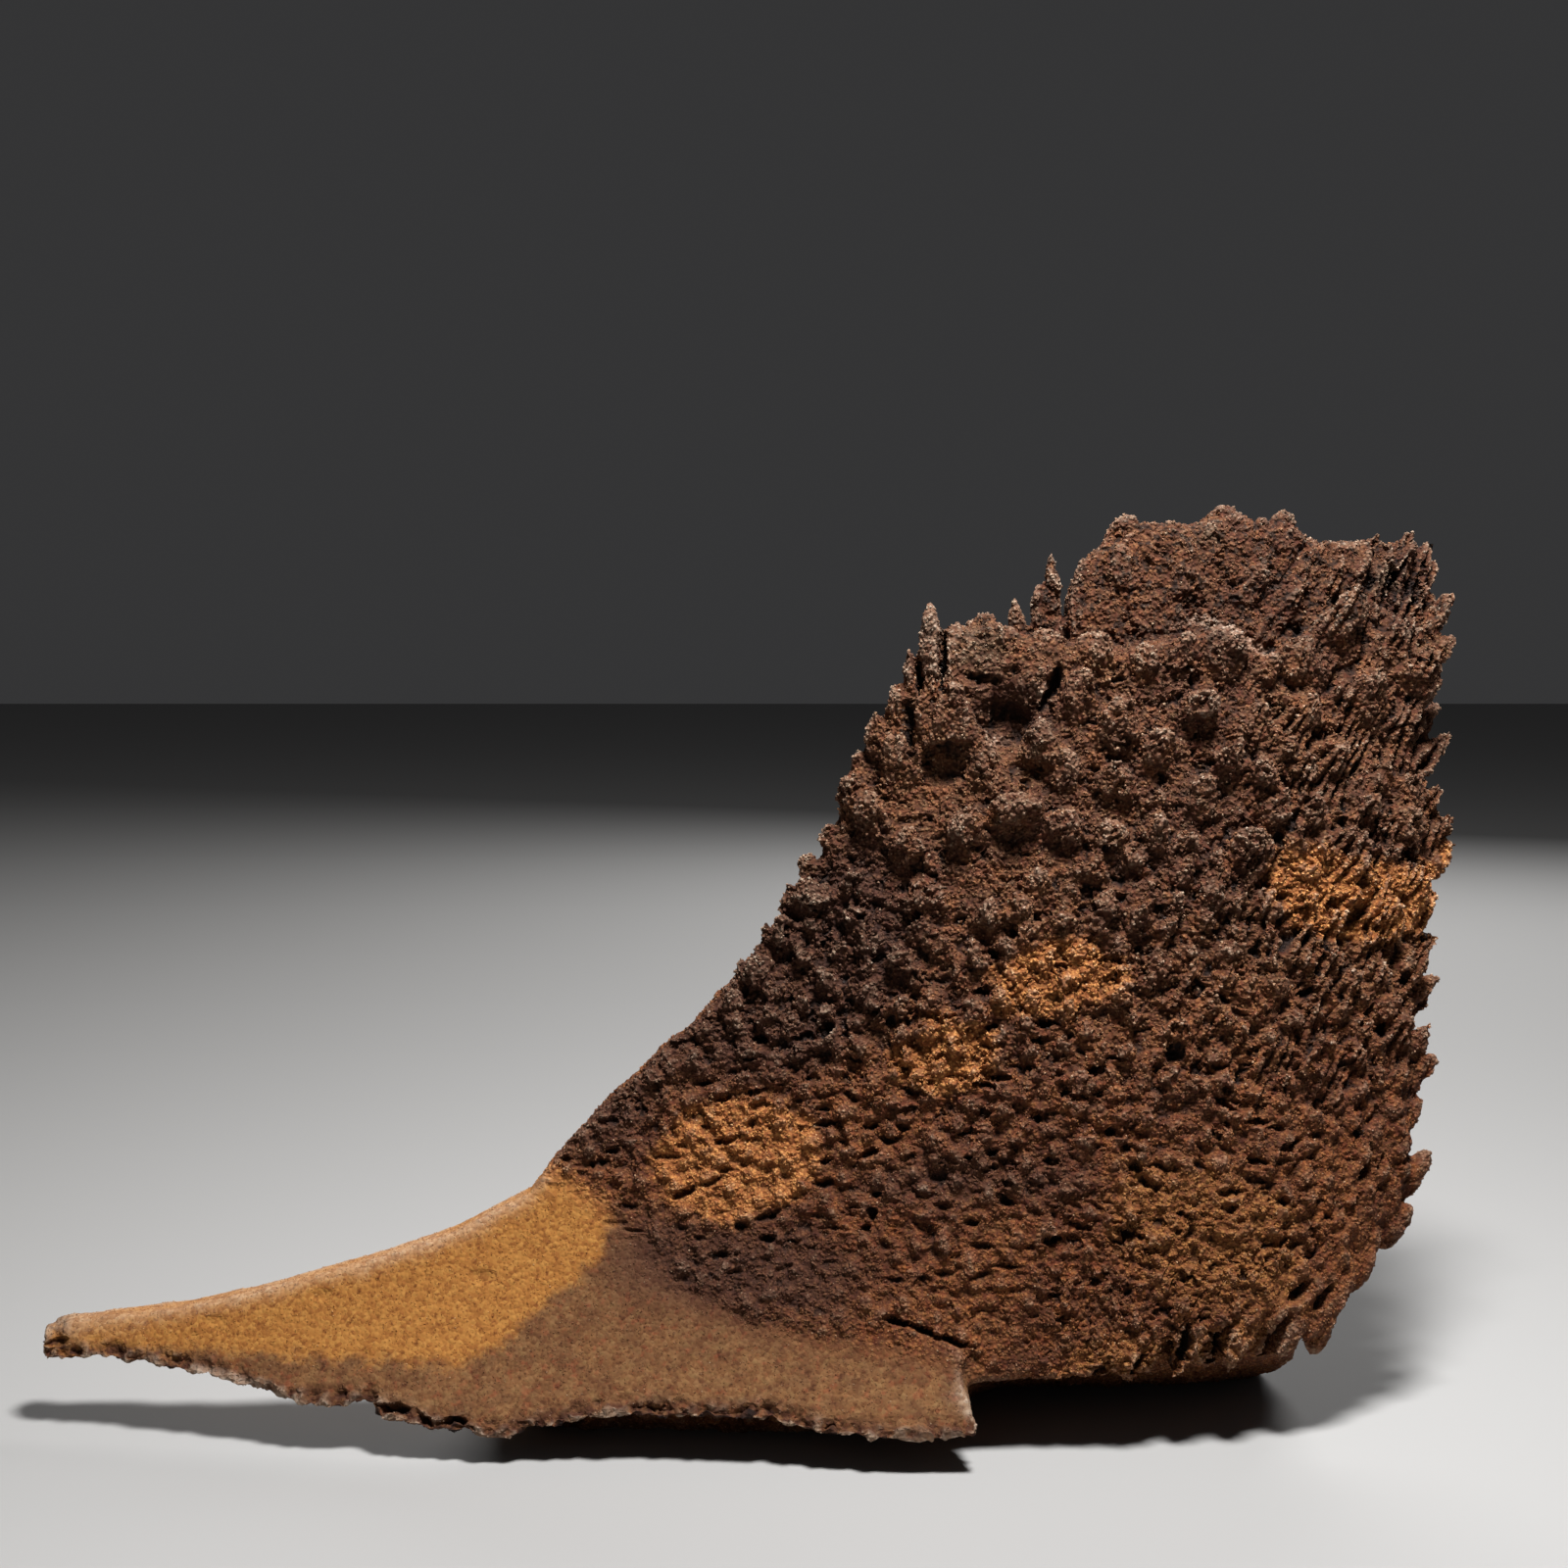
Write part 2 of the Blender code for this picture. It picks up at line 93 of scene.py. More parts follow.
# Unevenness of the crust: cell size of each kind and how far it moves the surface.
LUMP = 7.0
LUMP_SHIFT = 1.0
CLOT = 3.0
CLOT_SHIFT = 0.8
CRUMB = 1.45
CRUMB_HEIGHT = 0.7
PORE_CELL = 3.0
PORE_DEPTH = 2.4
# Flutes of the face: direction in degrees from +X, spacing, and how long they run unbroken.
FLUTE_ANGLE = 61.0
CROWN_FLUTE_ANGLE = 93.0
FLUTE_SPACING = 2.7
FLUTE_PATCH = 8.0
FLUTE_LENGTH = 22.0
GROOVE_DEPTH = 2.3
PIT_REACH = 6.0              # how far from its middle a pit can sink the face

# ---- outlines, as (x, z) ----
FAN_OUTLINE = (
    (-52, 49), (-44, 59), (-34, 69), (-23, 79), (-14, 87), (-3, 100), (6, 113), (11, 121),
    (16, 131), (21, 142), (26, 152), (31, 163), (36, 168), (54, 166), (72, 163), (96, 167),
    (107, 161), (121, 170), (129, 175), (141, 169), (148, 162), (144, 152), (146, 138), (143, 118),
    (141, 100), (138, 86), (136, 68), (137, 58), (134, 48), (125, 39), (116, 33), (108, 29),
    (98, 27), (88, 26), (80, 25), (76, 16.5), (57, 15.5), (41, 14.5), (20, 12), (-25, 14),
    (-40, 25),
)
LAYER_OUTLINE = (
    (66, 120), (62, 150), (64, 174), (67, 182), (77, 190), (93, 190), (101, 193), (108, 190),
    (115, 192), (119, 187), (137, 186), (147, 187), (152, 183), (152, 168), (146, 150), (141, 122),
    (110, 108),
)
TONGUE_OUTLINE = (
    (-156, 17), (-155, 20.8), (-137, 23.2), (-125, 25), (-108, 29), (-85, 35.5), (-68, 41),
    (-54, 48), (-45, 52), (-20, 40), (10, 31), (24, 27), (32, 25), (38.5, 22), (37.5, 17), (40, 10),
    (41, 8), (27, 6.8), (10, 7.5), (0, 9.5), (-33, 9.5), (-45, 7.5), (-56, 5.5), (-71, 6.8),
    (-80, 8), (-82, 10.3), (-92, 9), (-102, 10.5), (-111, 12), (-123, 13.8), (-141, 15.2),
    (-148, 14.4), (-154, 14.2),
)
HEEL_OUTLINE = (
    (-46, -5), (-56, 8), (-50, 24), (-34, 42), (-6, 56), (36, 62), (76, 54), (100, 38), (109, 22),
    (112, 6), (104, -5),
)
# The upper left, where every lobe has a place of its own.
CROWN_OUTLINE = (
    (11, 126), (17, 142), (24, 158), (30, 172), (38, 178), (72, 174), (70, 156), (66, 146),
    (66, 128), (50, 120), (24, 118),
)
# Where the surface is smooth.
SMOOTH_OUTLINE = (
    (-170, 5), (-170, 30), (-120, 34), (-85, 47), (-60, 58), (-43, 54), (-29, 45), (-20, 35),
    (-6, 29), (8, 26), (24, 24), (36, 22), (46, 17), (46, 0),
)
# The tongue's broken lower rim.
RIM = (
    (-156, 16), (-148, 14.4), (-141, 15.2), (-123, 13.8), (-111, 12), (-102, 10.5), (-92, 9),
    (-82, 10.3), (-80, 8), (-71, 6.8), (-56, 5.5), (-45, 7.5), (-33, 9.5), (0, 9.5), (10, 7.5),
    (27, 6.8), (41, 8), (42, -60), (200, -60),
)

# ---- scales, teeth and pits with a place of their own ----
# Scales and teeth: tip x, tip z, width, length, growth angle, taper.
FACE_SCALES = (
    (31, 115, 14, 11, 98, 0.1), (69, 167, 7, 13, 86, 0.2), (74, 154, 13, 19, 80, 0.3),
    (82, 147, 11, 15, 76, 0.2), (104, 152, 12, 17, 70, 0.25), (91, 137, 10, 14, 76, 0.2),
    (71, 128, 10, 13, 84, 0.2), (128, 177, 12, 22, 62, 0.3), (141, 170, 14, 20, 58, 0.3),
    (132, 159, 14, 19, 60, 0.25), (142, 152, 10, 16, 58, 0.3), (141, 136, 12, 18, 55, 0.3),
    (97, 168, 13, 15, 80, 0.15), (115, 166, 11, 16, 66, 0.2), (79, 165, 8, 12, 82, 0.2),
    (88, 167, 9, 13, 80, 0.2), (108, 163, 8, 12, 72, 0.2),
)
EDGE_TEETH = (
    (20.5, 149, 6, 15, 93, 0.2), (17, 142, 5.5, 14, 93, 0.2), (14.5, 136.5, 5, 12, 94, 0.2),
    (11, 126.5, 6, 14, 95, 0.2), (6.5, 120.5, 6, 14, 97, 0.2), (2.5, 113.5, 5.5, 12, 99, 0.2),
    (-2.5, 105, 5, 12, 104, 0.2), (-8, 97, 5, 11, 108, 0.2), (-15, 88.5, 5, 11, 112, 0.2),
    (-24, 79.5, 5, 11, 118, 0.2), (-34, 70.5, 5, 11, 122, 0.2), (-44, 61, 6, 12, 124, 0.2),
    (155, 177, 7, 17, 60, 0.4), (156, 167, 9, 20, 46, 0.4), (150, 152, 6, 14, 58, 0.4),
    (154, 145, 7.5, 20, 42, 0.35), (150, 134, 8, 16, 58, 0.3), (152, 127, 7, 16, 50, 0.3),
    (153.5, 121, 7, 20, 42, 0.4), (148, 111, 7, 16, 50, 0.3), (147, 102, 7, 15, 50, 0.3),
    (147, 93, 7, 15, 46, 0.3), (144, 83, 6, 14, 50, 0.3), (145, 76, 7, 15, 45, 0.3),
    (141, 67, 6, 12, 48, 0.3), (143, 56, 7, 15, 45, 0.3), (137, 46, 7, 13, 52, 0.3),
    (127, 38, 6, 12, 56, 0.3), (117, 28, 6, 12, 66, 0.3), (134.5, 50, 7, 14, 52, 0.2),
    (129, 43, 7, 13, 54, 0.2),
)
LAYER_TEETH = (
    (60, 185, 5.5, 22, 91, 0.5), (52, 175, 4.5, 14, 92, 0.3), (57, 178, 4.5, 16, 91, 0.3),
    (45, 172, 10, 12, 90, 0.2), (67, 184, 6, 16, 90, 0.2), (77, 193, 10, 14, 86, 0.1),
    (88, 192, 10, 12, 84, 0.1), (101, 196, 13, 16, 80, 0.2), (115, 195, 8, 14, 75, 0.2),
    (109, 193, 8, 12, 78, 0.1), (130, 188, 8, 12, 68, 0.1), (138, 189.5, 8, 16, 66, 0.2),
    (147, 191, 6.5, 18, 64, 0.35), (152.5, 188, 7, 20, 63, 0.3), (154.5, 183, 6, 16, 62, 0.3),
)
# Flutes on the rear layer's face, given in the same way.
LAYER_FLUTES = (
    (119, 184, 5, 30, 64, 0.1), (127, 185, 6, 34, 64, 0.1), (134, 186, 5, 30, 63, 0.1),
    (140, 187, 6, 34, 63, 0.1), (146, 188, 5, 30, 62, 0.1), (151, 184, 6, 32, 61, 0.1),
    (108, 186, 8, 24, 70, 0.1), (76, 188, 10, 22, 86, 0.1), (90, 188, 12, 24, 82, 0.1),
)
# The lobes of the upper left: tip x, tip z, width, length, growth angle, taper, lean, proud.
CROWN_LOBES = (
    (33.2, 173.6, 6.5, 24, 91, 0.35, 7, 0.6), (28.7, 163.4, 4.5, 15, 92, 0.3, 7, 0.4),
    (37.8, 157.2, 15, 26, 90, 0.62, 15, 0), (43.5, 146.5, 7, 18, 98, 0.3, 12, 0.6),
    (31.2, 153.8, 6.5, 12, 93, 0.3, 12, 0), (25.8, 156, 7, 14, 95, 0.3, 9, 0),
    (21.4, 149.8, 6.5, 12, 95, 0.3, 9, 0), (25, 146.2, 8, 17, 94, 0.15, 16, 0.4),
    (29.6, 143, 4, 8, 96, 0.2, 18, 1), (16.2, 137.4, 6, 13, 96, 0.2, 10, 0),
    (20.3, 133.2, 8.5, 16, 95, 0.15, 17, 0.4), (57, 149.2, 12.5, 16, 88, 0.55, 19, 0.3),
    (62, 142, 8.5, 12, 82, 0.3, 20, 0), (50.6, 133.4, 13.5, 13, 90, 0.1, 25, 0.4),
    (40, 129.6, 11, 13, 97, 0.2, 24, 0.2), (28, 125.5, 10, 13, 98, 0.15, 23, 0),
    (65, 159.5, 9.5, 16, 84, 0.3, 14, 0), (61, 129.5, 10, 12, 86, 0.2, 25, 0),
    (67.5, 167.5, 9, 12, 86, 0.1, 7, -1.4), (58, 168, 12, 10, 89, 0, 5, -2.4),
    (47, 169.6, 13, 10, 90, 0, 5, -2.6), (38.5, 169.4, 7, 10, 92, 0.1, 5, -2),
    (45, 172.6, 8, 8, 90, 0.1, 4, -5),
)
# Claws along the lower right edge, parted by slits: foot x, foot z, width, length, angle.
CLAWS = (
    (82, 15, 7.5, 26, 72), (93, 15, 9, 26, 70), (104.5, 17, 8.5, 26, 66),
    (110.5, 19.5, 7.5, 24, 63), (114.5, 23, 6.5, 20, 60),
)
# Hollows in the face: x, z, radius, depth.
HOLLOWS = ((49.5, 147, 7, 5), (52.5, 137, 5, 1.5), (33, 134, 6, 2), (112, 158, 7, 2.5))
# Pits, cracks and chips: x, z, half width, half height, angle, depth.
NAMED_PITS = (
    (25, 27.2, 3.2, 0.7, -14, 2.4), (30.5, 25.4, 3.2, 0.7, -22, 2.6), (36, 23.8, 3, 0.7, -14, 2.6),
    (-152, 18, 2.6, 0.5, 14, 1), (-78, 10.2, 3.5, 0.8, 0, 2), (-71, 8.6, 2.2, 0.8, -30, 2),
    (-66, 8.4, 3.4, 0.7, 4, 1.5), (-95, 29, 2.6, 1, 8, 0.3), (-61, 33.5, 3, 1.3, 4, 0.35),
    (-118, 23.5, 2.6, 0.9, 8, 0.25), (-122, 20.5, 1, 0.4, 8, 0.25), (83, 21, 6.5, 0.9, 68, 5),
    (90.5, 20, 6, 0.9, 66, 5), (103, 21, 6, 1, 66, 5.5), (108.5, 31, 3.5, 1.2, 30, 2.4),
    (114, 29.5, 3, 1, 50, 2), (66, 17.5, 2.5, 0.9, 40, 3), (74, 19, 2.5, 0.9, 60, 3),
    (49.5, 147.5, 6.5, 4.6, 20, 1.6), (35, 140.5, 5.5, 4.4, 20, 3), (53, 138.4, 4.6, 2.6, 10, 1.2),
    (28, 148.5, 1, 4.5, 0, 2.5), (44, 157, 4, 1.2, -10, 1.4), (35.3, 162, 8, 0.8, 91, 6),
    (29.9, 157.5, 4, 0.7, 91, 5), (58.6, 155.5, 5, 0.9, 68, 4.5), (109, 167.5, 4, 0.7, 74, 4),
    (112.5, 168, 3.5, 0.6, 72, 4), (141, 178, 7, 0.8, 62, 4.5), (146.5, 177, 6, 0.8, 61, 4),
)


# ---- colours ----
def colour(red, green, blue):
    """Display red, green and blue, 0 to 255, as a linear colour."""
    linear = [
        ((v / 255 + 0.055) / 1.055) ** 2.4 if v > 10 else v / 3294 for v in (red, green, blue)
    ]
    return (*linear, 1.0)


BROWN = colour(110, 74, 46)
BROWN_DARK = colour(90, 57, 36)
BROWN_WARM = colour(128, 83, 48)
RED_BROWN = colour(108, 56, 34)
OLIVE_BROWN = colour(100, 76, 46)
UMBER_AND_SHADE = colour(72, 43, 27)
BAND = colour(105, 74, 46)
BAND_DARK = colour(87, 58, 35)
TAN = colour(142, 94, 46)
OCHRE = colour(146, 96, 42)
OCHRE_BROWN = colour(170, 114, 60)
# Dust and painted highlight for the crests.
CREST_DUST_AND_HIGHLIGHT = colour(162, 140, 118)
# Painted shade for pits and cracks.
PAINTED_SHADE = colour(18, 4, 1)
RIM_DARK = colour(66, 34, 18)
GREY_FILM = colour(100, 98, 80)
# Fresh breaks, and pale specks with a painted glint.
FRESH_STONE_AND_GLINT = colour(160, 136, 116)
QUARTZ = colour(200, 170, 140)
# Tints, which multiply the colour below them.
LOW_TINT = (1.2, 1.0, 0.68, 1.0)
HIGH_TINT = (0.86, 0.83, 0.79, 1.0)
SPECK = (0.5, 0.36, 0.24, 1.0)
DULL_GRAIN = (0.5, 0.33, 0.24, 1.0)
BRIGHT_GRAIN = (1.32, 1.6, 1.9, 1.0)
# Painted shade for the pores between grains.
PORE_SHADE = (0.25, 0.1, 0.05, 1.0)
WHITE = (1.0, 1.0, 1.0, 1.0)

# Cell sizes of the colour's patches, mm.
PATCH_CELL = 26.0
MOTTLE_CELL = 4.5
CRUMB_CELL = 1.7
SPECK_CELL = 1.3
STAIN_DRIFT = 14.0           # how far the mottle shifts a stain's edge, mm
# Heights, and relief of the surface, between which a finish comes in, metres; the relief brings in
# dust with a painted highlight on the crests and painted shade in the pits.
LOW_ZONE = (0.12, 0.05)
HIGH_ZONE = (0.158, 0.172)
CREST_RELIEF = (0.0003, 0.0024)
PIT_RELIEF = (-0.0001, -0.0022)
CRUST_GRAINS_PER_METRE = 1100.0
GRAIN_BUMP = 0.4             # height of the crust's packed grains, mm

# ---- stains: outlines in the growing frame, and only in front of the plate's middle ----
FAR_OUTSIDE = -20.0          # depth inside a stain that is said where there can be none
LAYER_BARE_ABOVE = 160.0     # above this height the rear layer is what shows
TONGUE_END = -45.0           # left of this a stain goes all round the plate
# Tan is faint; shade is darker crust in part and painted shade in part; fresh marks pale breaks and
# pale specks, the specks with a painted glint; film is thin grey-green.
STAINS = {
    "ochre": (
        ((-165, 16), (-165, 40), (-85, 50), (-55, 60), (-38, 51), (-35, 48), (-34, 43), (-36, 37),
         (-43, 31), (-51, 25), (-57, 19.8), (-63, 17.2), (-80, 17.1), (-110, 17.2), (-130, 16.6),
         (-150, 15)),
        ((-28, 57), (-19, 67), (-6, 70), (8, 67), (11, 58), (6, 49), (-10, 43), (-23, 47)),
        ((23, 78), (34, 88), (46, 85), (47, 75), (34, 70), (25, 72)),
        ((44, 96), (55, 103), (65, 104), (73, 99), (73, 92), (61, 86), (46, 88)),
        ((104, 119), (115, 123), (129, 117), (144, 116), (156, 124), (154, 116), (146, 100),
         (128, 99), (112, 103), (104, 110)),
    ),
    "tan": (
        ((72, 59), (93, 56), (110, 48), (109, 28), (82, 30), (68, 44)),
        ((60, 23), (82, 24), (103, 25), (102, 17), (60, 15)),
    ),
    # Darker outlines: the first is painted shade on the left, where less light falls; the fourth is
    # painted shade in the crown's hollow, the fifth between the rear layer's flutes; the second and
    # third only darken the crust.
    "shade": (
        ((-60, 54), (-30, 80), (0, 112), (19, 124), (32, 104), (24, 86), (8, 74), (-20, 72),
         (-32, 56)),
        ((-28, 46), (8, 44), (20, 36), (14, 26), (-10, 27), (-32, 30), (-38, 38)),
        ((18, 55), (40, 60), (64, 57), (64, 52), (40, 50), (18, 50)),
        ((41, 157), (56, 157), (60, 150), (55, 144), (47, 144), (41, 150)),
        ((134, 166), (144, 186), (147, 185), (138, 166)),
    ),
    # The first two are fresh breaks; the four small ones are pale quartz specks that carry a
    # painted glint as well.
    "fresh": (
        ((85, 167.5), (92, 170.3), (96, 169.6), (103, 165.8), (108, 162.6), (107, 161),
         (102, 163.6), (95, 167.4), (92, 168.4)),
        ((-121, 15.2), (-112, 14.2), (-105, 12.2), (-106, 11), (-114, 12.4), (-122, 14)),
        ((45.2, 143.4), (47.5, 144.6), (50, 143.4), (47.5, 142.6)),
        ((39, 148.1), (40.3, 149.4), (41.4, 148.1), (40.3, 147)),
        ((90.9, 108.9), (91.9, 109.6), (92.9, 108.9), (91.9, 108.2)),
        ((70.6, 102.6), (71.4, 103.6), (72.2, 102.6), (71.4, 101.6)),
    ),
    "film": (
        ((38, 160), (40, 167), (46, 168), (50, 163), (46, 158)),
        ((92, 186), (93, 190), (97, 190), (98, 186)),
        ((134, 176), (135, 181), (140, 181), (141, 176)),
    ),
}
# What each mesh tells the stone colour: input of the group, value on the mesh, default.
STONE_VALUES = (
    *((f"{name.title()} Depth", name, FAR_OUTSIDE) for name in STAINS),
    ("Tongue", "tongue", 0.0), ("Rim", "rim", 0.0), ("Relief", "relief", 0.0),
)

# ---- sand ----
# Least, usual and greatest radius of a grain, mm.
COARSE = (0.17, 0.29, 0.52)
FINE = (0.16, 0.25, 0.4)
GRAIN_STRETCH = (0.75, 1.2)
GRAIN_SUNK = (-0.3, 0.3)     # how far a grain's middle lies in or out, in radii
GRAIN_CORNERS = np.array(
    ((1, 0, 0), (-1, 0, 0), (0, 1, 0), (0, -1, 0), (0, 0, 1), (0, 0, -1)), dtype=float
)[None]
GRAIN_FACES = np.array(
    ((0, 2, 4), (2, 1, 4), (1, 3, 4), (3, 0, 4), (2, 0, 5), (1, 2, 5), (3, 1, 5), (0, 3, 5))
)

# ---- floor, light and camera ----
FLOOR_HALF = 3.0
FLOOR_COLOUR = (0.28, 0.275, 0.27, 1.0)
AIR_COLOUR = (0.035, 0.035, 0.036, 1.0)
# Lights: name, place, what it is aimed at, side, power.
LIGHTS = (
    ("overhead softbox", (0.1, -0.14, 0.58), (0.02, 0.0, 0.06), 0.11, 8.0),
    ("front fill", (-0.5, -1.1, 0.5), (0.0, 0.0, 0.08), 0.9, 0.25),
    ("rear softbox", (0.3, 0.8, 0.6), (0.0, 0.0, 0.08), 0.6, 7.0),
)
CAMERA_PLACE = (0.0023, -0.4668, 0.175)
CAMERA_TILT = 85.0           # degrees from looking straight down
LENS = 50.0


# ---- the form of the face ----
def ease(low, high, value):
    t = min(1.0, max(0.0, (value - low) / (high - low)))
    return t * t * (3.0 - 2.0 * t)


def fade(low, high, values):
    """The same rise as ease, for many values at once."""
    t = np.clip((values - low) / (high - low), 0.0, 1.0)
    return t * t * (3.0 - 2.0 * t)


def table(points, value):
    """Linear look-up in a short list of (value, result)."""
    if value <= points[0][0]:
        return points[0][1]
    for (a, at_a), (b, at_b) in zip(points, points[1:]):
        if value <= b:
            return at_a + (at_b - at_a) * (value - a) / (b - a)
    return points[-1][1]


def front_edge(x):
    """Depth of the plate's lower front edge, as seen in plan."""
    if x < -65.0:
        return -38.0 + 13.0 * min(1.0, (-65.0 - x) / 87.0) ** 1.3
    return -38.0 - 8.0 * min(1.0, (x + 65.0) / 104.0)


def sweep_y(x, z):
    """The tongue's face: low slope at its front edge, steeper as it rises."""
    rise = max(0.0, z - 6.0)
    curve = SWEEP_DEPTH * (1.0 - math.exp(-rise / SWEEP_HEIGHT))
    return front_edge(x) + curve + 0.176 * rise


def hollow_depth(x, z):
    total = 0.0
    for hx, hz, radius, depth in HOLLOWS:
        total += depth * math.exp(-((x - hx) ** 2 + (z - hz) ** 2) / radius**2)
    return total


def face_y(x, z):
    """The fan's face: the sweep at -X turning into a plain lean that bends back at +X."""
    lean = -36.0 + FACE_LEAN * z
    share = ease(5.0, 55.0, x)
    bend = 0.004 * max(0.0, x - 70.0) ** 2
    return sweep_y(x, z) * (1.0 - share) + lean * share + bend + hollow_depth(x, z)


def left_edge(z):
    return table(((15, -48), (50, -52), (80, -24), (114, 4), (150, 23), (190, 62)), z)


def across(x, z):
    """0 at the fan's left edge, 1 at its right edge."""
    return (x - left_edge(z)) / (146.0 - left_edge(z))


def growth_angle(x, z):
    """Direction of growth in the face, degrees from +X: upright at left, fanning to +X."""
    low_claws = 22.0 * (1.0 - ease(15.0, 60.0, z))
    return 97.0 - 46.0 * ease(0.25, 1.0, across(x, z)) + low_claws * ease(0.5, 1.0, across(x, z))


def face_frame(x, z, surface):
    """Point, outward normal and the two in-face directions of a surface y = f(x, z)."""
    step = 0.5
    dx = (surface(x + step, z) - surface(x - step, z)) / (2.0 * step)
    dz = (surface(x, z + step) - surface(x, z - step)) / (2.0 * step)
    point = Vector((x, surface(x, z), z))
    normal = Vector((dx, -1.0, dz)).normalized()
    return point, normal, Vector((1.0, dx, 0.0)), Vector((0.0, dz, 1.0))


def rough(x, y, z, cell):
    """Smooth unevenness between -1 and 1 with the given cell size."""
    return noise.noise(Vector((x, y, z)) / cell)


def inside(outline, x, z):
    """Even-odd test of a point against an outline."""
    hit = False
    for (ax, az), (bx, bz) in zip(outline, outline[1:] + outline[:1]):
        if (az > z) != (bz > z) and x < (bx - ax) * (z - az) / (bz - az) + ax:
            hit = not hit
    return hit


def outline_distance(outline, x, z):
    """Distance of many points to an outline, above zero inside it."""
    nearest = np.full(len(x), np.inf)
    within = np.zeros(len(x), bool)
    for (ax, az), (bx, bz) in zip(outline, outline[1:] + outline[:1]):
        dx, dz = bx - ax, bz - az
        t = np.clip(((x - ax) * dx + (z - az) * dz) / (dx * dx + dz * dz), 0.0, 1.0)
        nearest = np.minimum(nearest, np.hypot(x - ax - t * dx, z - az - t * dz))
        if az != bz:
            crossed = (az > z) != (bz > z)
            within ^= crossed & (x < dx * (z - az) / dz + ax)
    return np.where(within, nearest, -nearest)


def height_over_rim(x, z):
    """How far a point lies above the tongue's broken lower rim."""
    rim = np.array(RIM)
    return z - np.interp(x, rim[:, 0], rim[:, 1])


def rim_share(x, z):
    """1 on the tongue's broken rim and on its chipped toe."""
    rim = 1.0 - fade(1.5, 4.5, height_over_rim(x, z))
    return np.maximum(rim, 0.8 * fade(-147.0, -153.0, x))


def tongue_share(x, z):
    """1 on the smooth tongue, 0 on the scaly fan; x and z in the growing frame."""
    return fade(-2.0, 7.0, outline_distance(SMOOTH_OUTLINE, x, z))


# ---- building blocks ----
def new_object(name, mesh):
    ob = bpy.data.objects.new(name, mesh)
    bpy.context.scene.collection.objects.link(ob)
    return ob


def apply_modifier(ob, kind, **settings):
    """Replace the object's mesh by what a modifier makes of it."""
    modifier = ob.modifiers.new(kind, kind)
    for name, value in settings.items():
        setattr(modifier, name, value)
    depsgraph = bpy.context.evaluated_depsgraph_get()
    made = bpy.data.meshes.new_from_object(ob.evaluated_get(depsgraph))
    ob.modifiers.clear()
    old = ob.data
    ob.data = made
    bpy.data.meshes.remove(old)


def voxel_skin(ob, size):
    apply_modifier(ob, "REMESH", mode="VOXEL", voxel_size=size)


@contextlib.contextmanager
def editing(mesh):
    """Edit a mesh and write it back."""
    bm = bmesh.new()
    bm.from_mesh(mesh)
    yield bm
    bm.to_mesh(mesh)
    bm.free()


def read(items, what, columns=3, kind=float):
    """A value of each item of a mesh, as an array of that many columns."""
    flat = np.empty(len(items) * columns, kind)
    items.foreach_get(what, flat)
    return flat.reshape(-1, columns)


def vertex_array(mesh, what):
    """Co-ordinates or normals of a mesh's vertices."""
    return read(mesh.vertices, what)


def set_points(mesh, points):
    mesh.vertices.foreach_set("co", points.ravel())
    mesh.update()


def write_value(mesh, name, values):
    """Give each vertex a value that the materials read by name."""
    layer = mesh.attributes.new(name, "FLOAT", "POINT")
    layer.data.foreach_set("value", np.asarray(values, dtype=np.float32))


def plate(name, outline, surface, thickness, rear_roughness=1.2):
    """A slab with the given (x, z) outline whose front follows y = surface(x, z)."""
    curve = bpy.data.curves.new(name + " outline", "CURVE")
    curve.dimensions = "2D"
    curve.fill_mode = "BOTH"
    curve.extrude = SLAB_HALF
    spline = curve.splines.new("POLY")
    spline.points.add(len(outline) - 1)
    for point, (x, z) in zip(spline.points, outline):
        point.co = (x, z, 0.0, 1.0)
    spline.use_cyclic_u = True
    flat = new_object(name + " outline", curve)
    depsgraph = bpy.context.evaluated_depsgraph_get()
    slab = new_object(name, bpy.data.meshes.new_from_object(flat.evaluated_get(depsgraph)))
    bpy.data.objects.remove(flat)
    # The curve is drawn in its own XY plane: stand it up, +Z of the curve towards -Y.
    slab.data.transform(Matrix.Rotation(math.radians(90.0), 4, "X"))
    voxel_skin(slab, SLAB_VOXEL)
    for vertex in slab.data.vertices:
        x, y, z = vertex.co
        share = (y + SLAB_HALF) / (2.0 * SLAB_HALF)
        uneven = rear_roughness * (rough(x, y, z, 16.0) + 0.6 * rough(z, x, y, 7.0))
        vertex.co.y = surface(x, z) + share * (thickness(x, z) + uneven)
        vertex.co.x += share * 0.8 * rear_roughness * rough(y, vertex.co.y, z, 11.0)
    return slab


def add_scale(bm, point, along, normal, width, length, depth, taper):
    """A rounded scale centred on point.  Its long axis is along; towards its tip it gets
    narrower and thicker, like a hood, so that its root is lost in what lies below it."""
    side = along.cross(normal).normalized()
    out = side.cross(along).normalized()
    made = bmesh.ops.create_icosphere(bm, subdivisions=2, radius=1.0)
    for vertex in made["verts"]:
        a, b, c = vertex.co
        slim = 1.0 - taper * max(0.0, c + 0.3) / 1.3
        thick = 0.45 + 0.275 * (c + 1.0)
        vertex.co = (
            point
            + side * (a * slim * width / 2.0)
            + out * (b * thick * depth / 2.0)
            + along * (c * length / 2.0)
        )


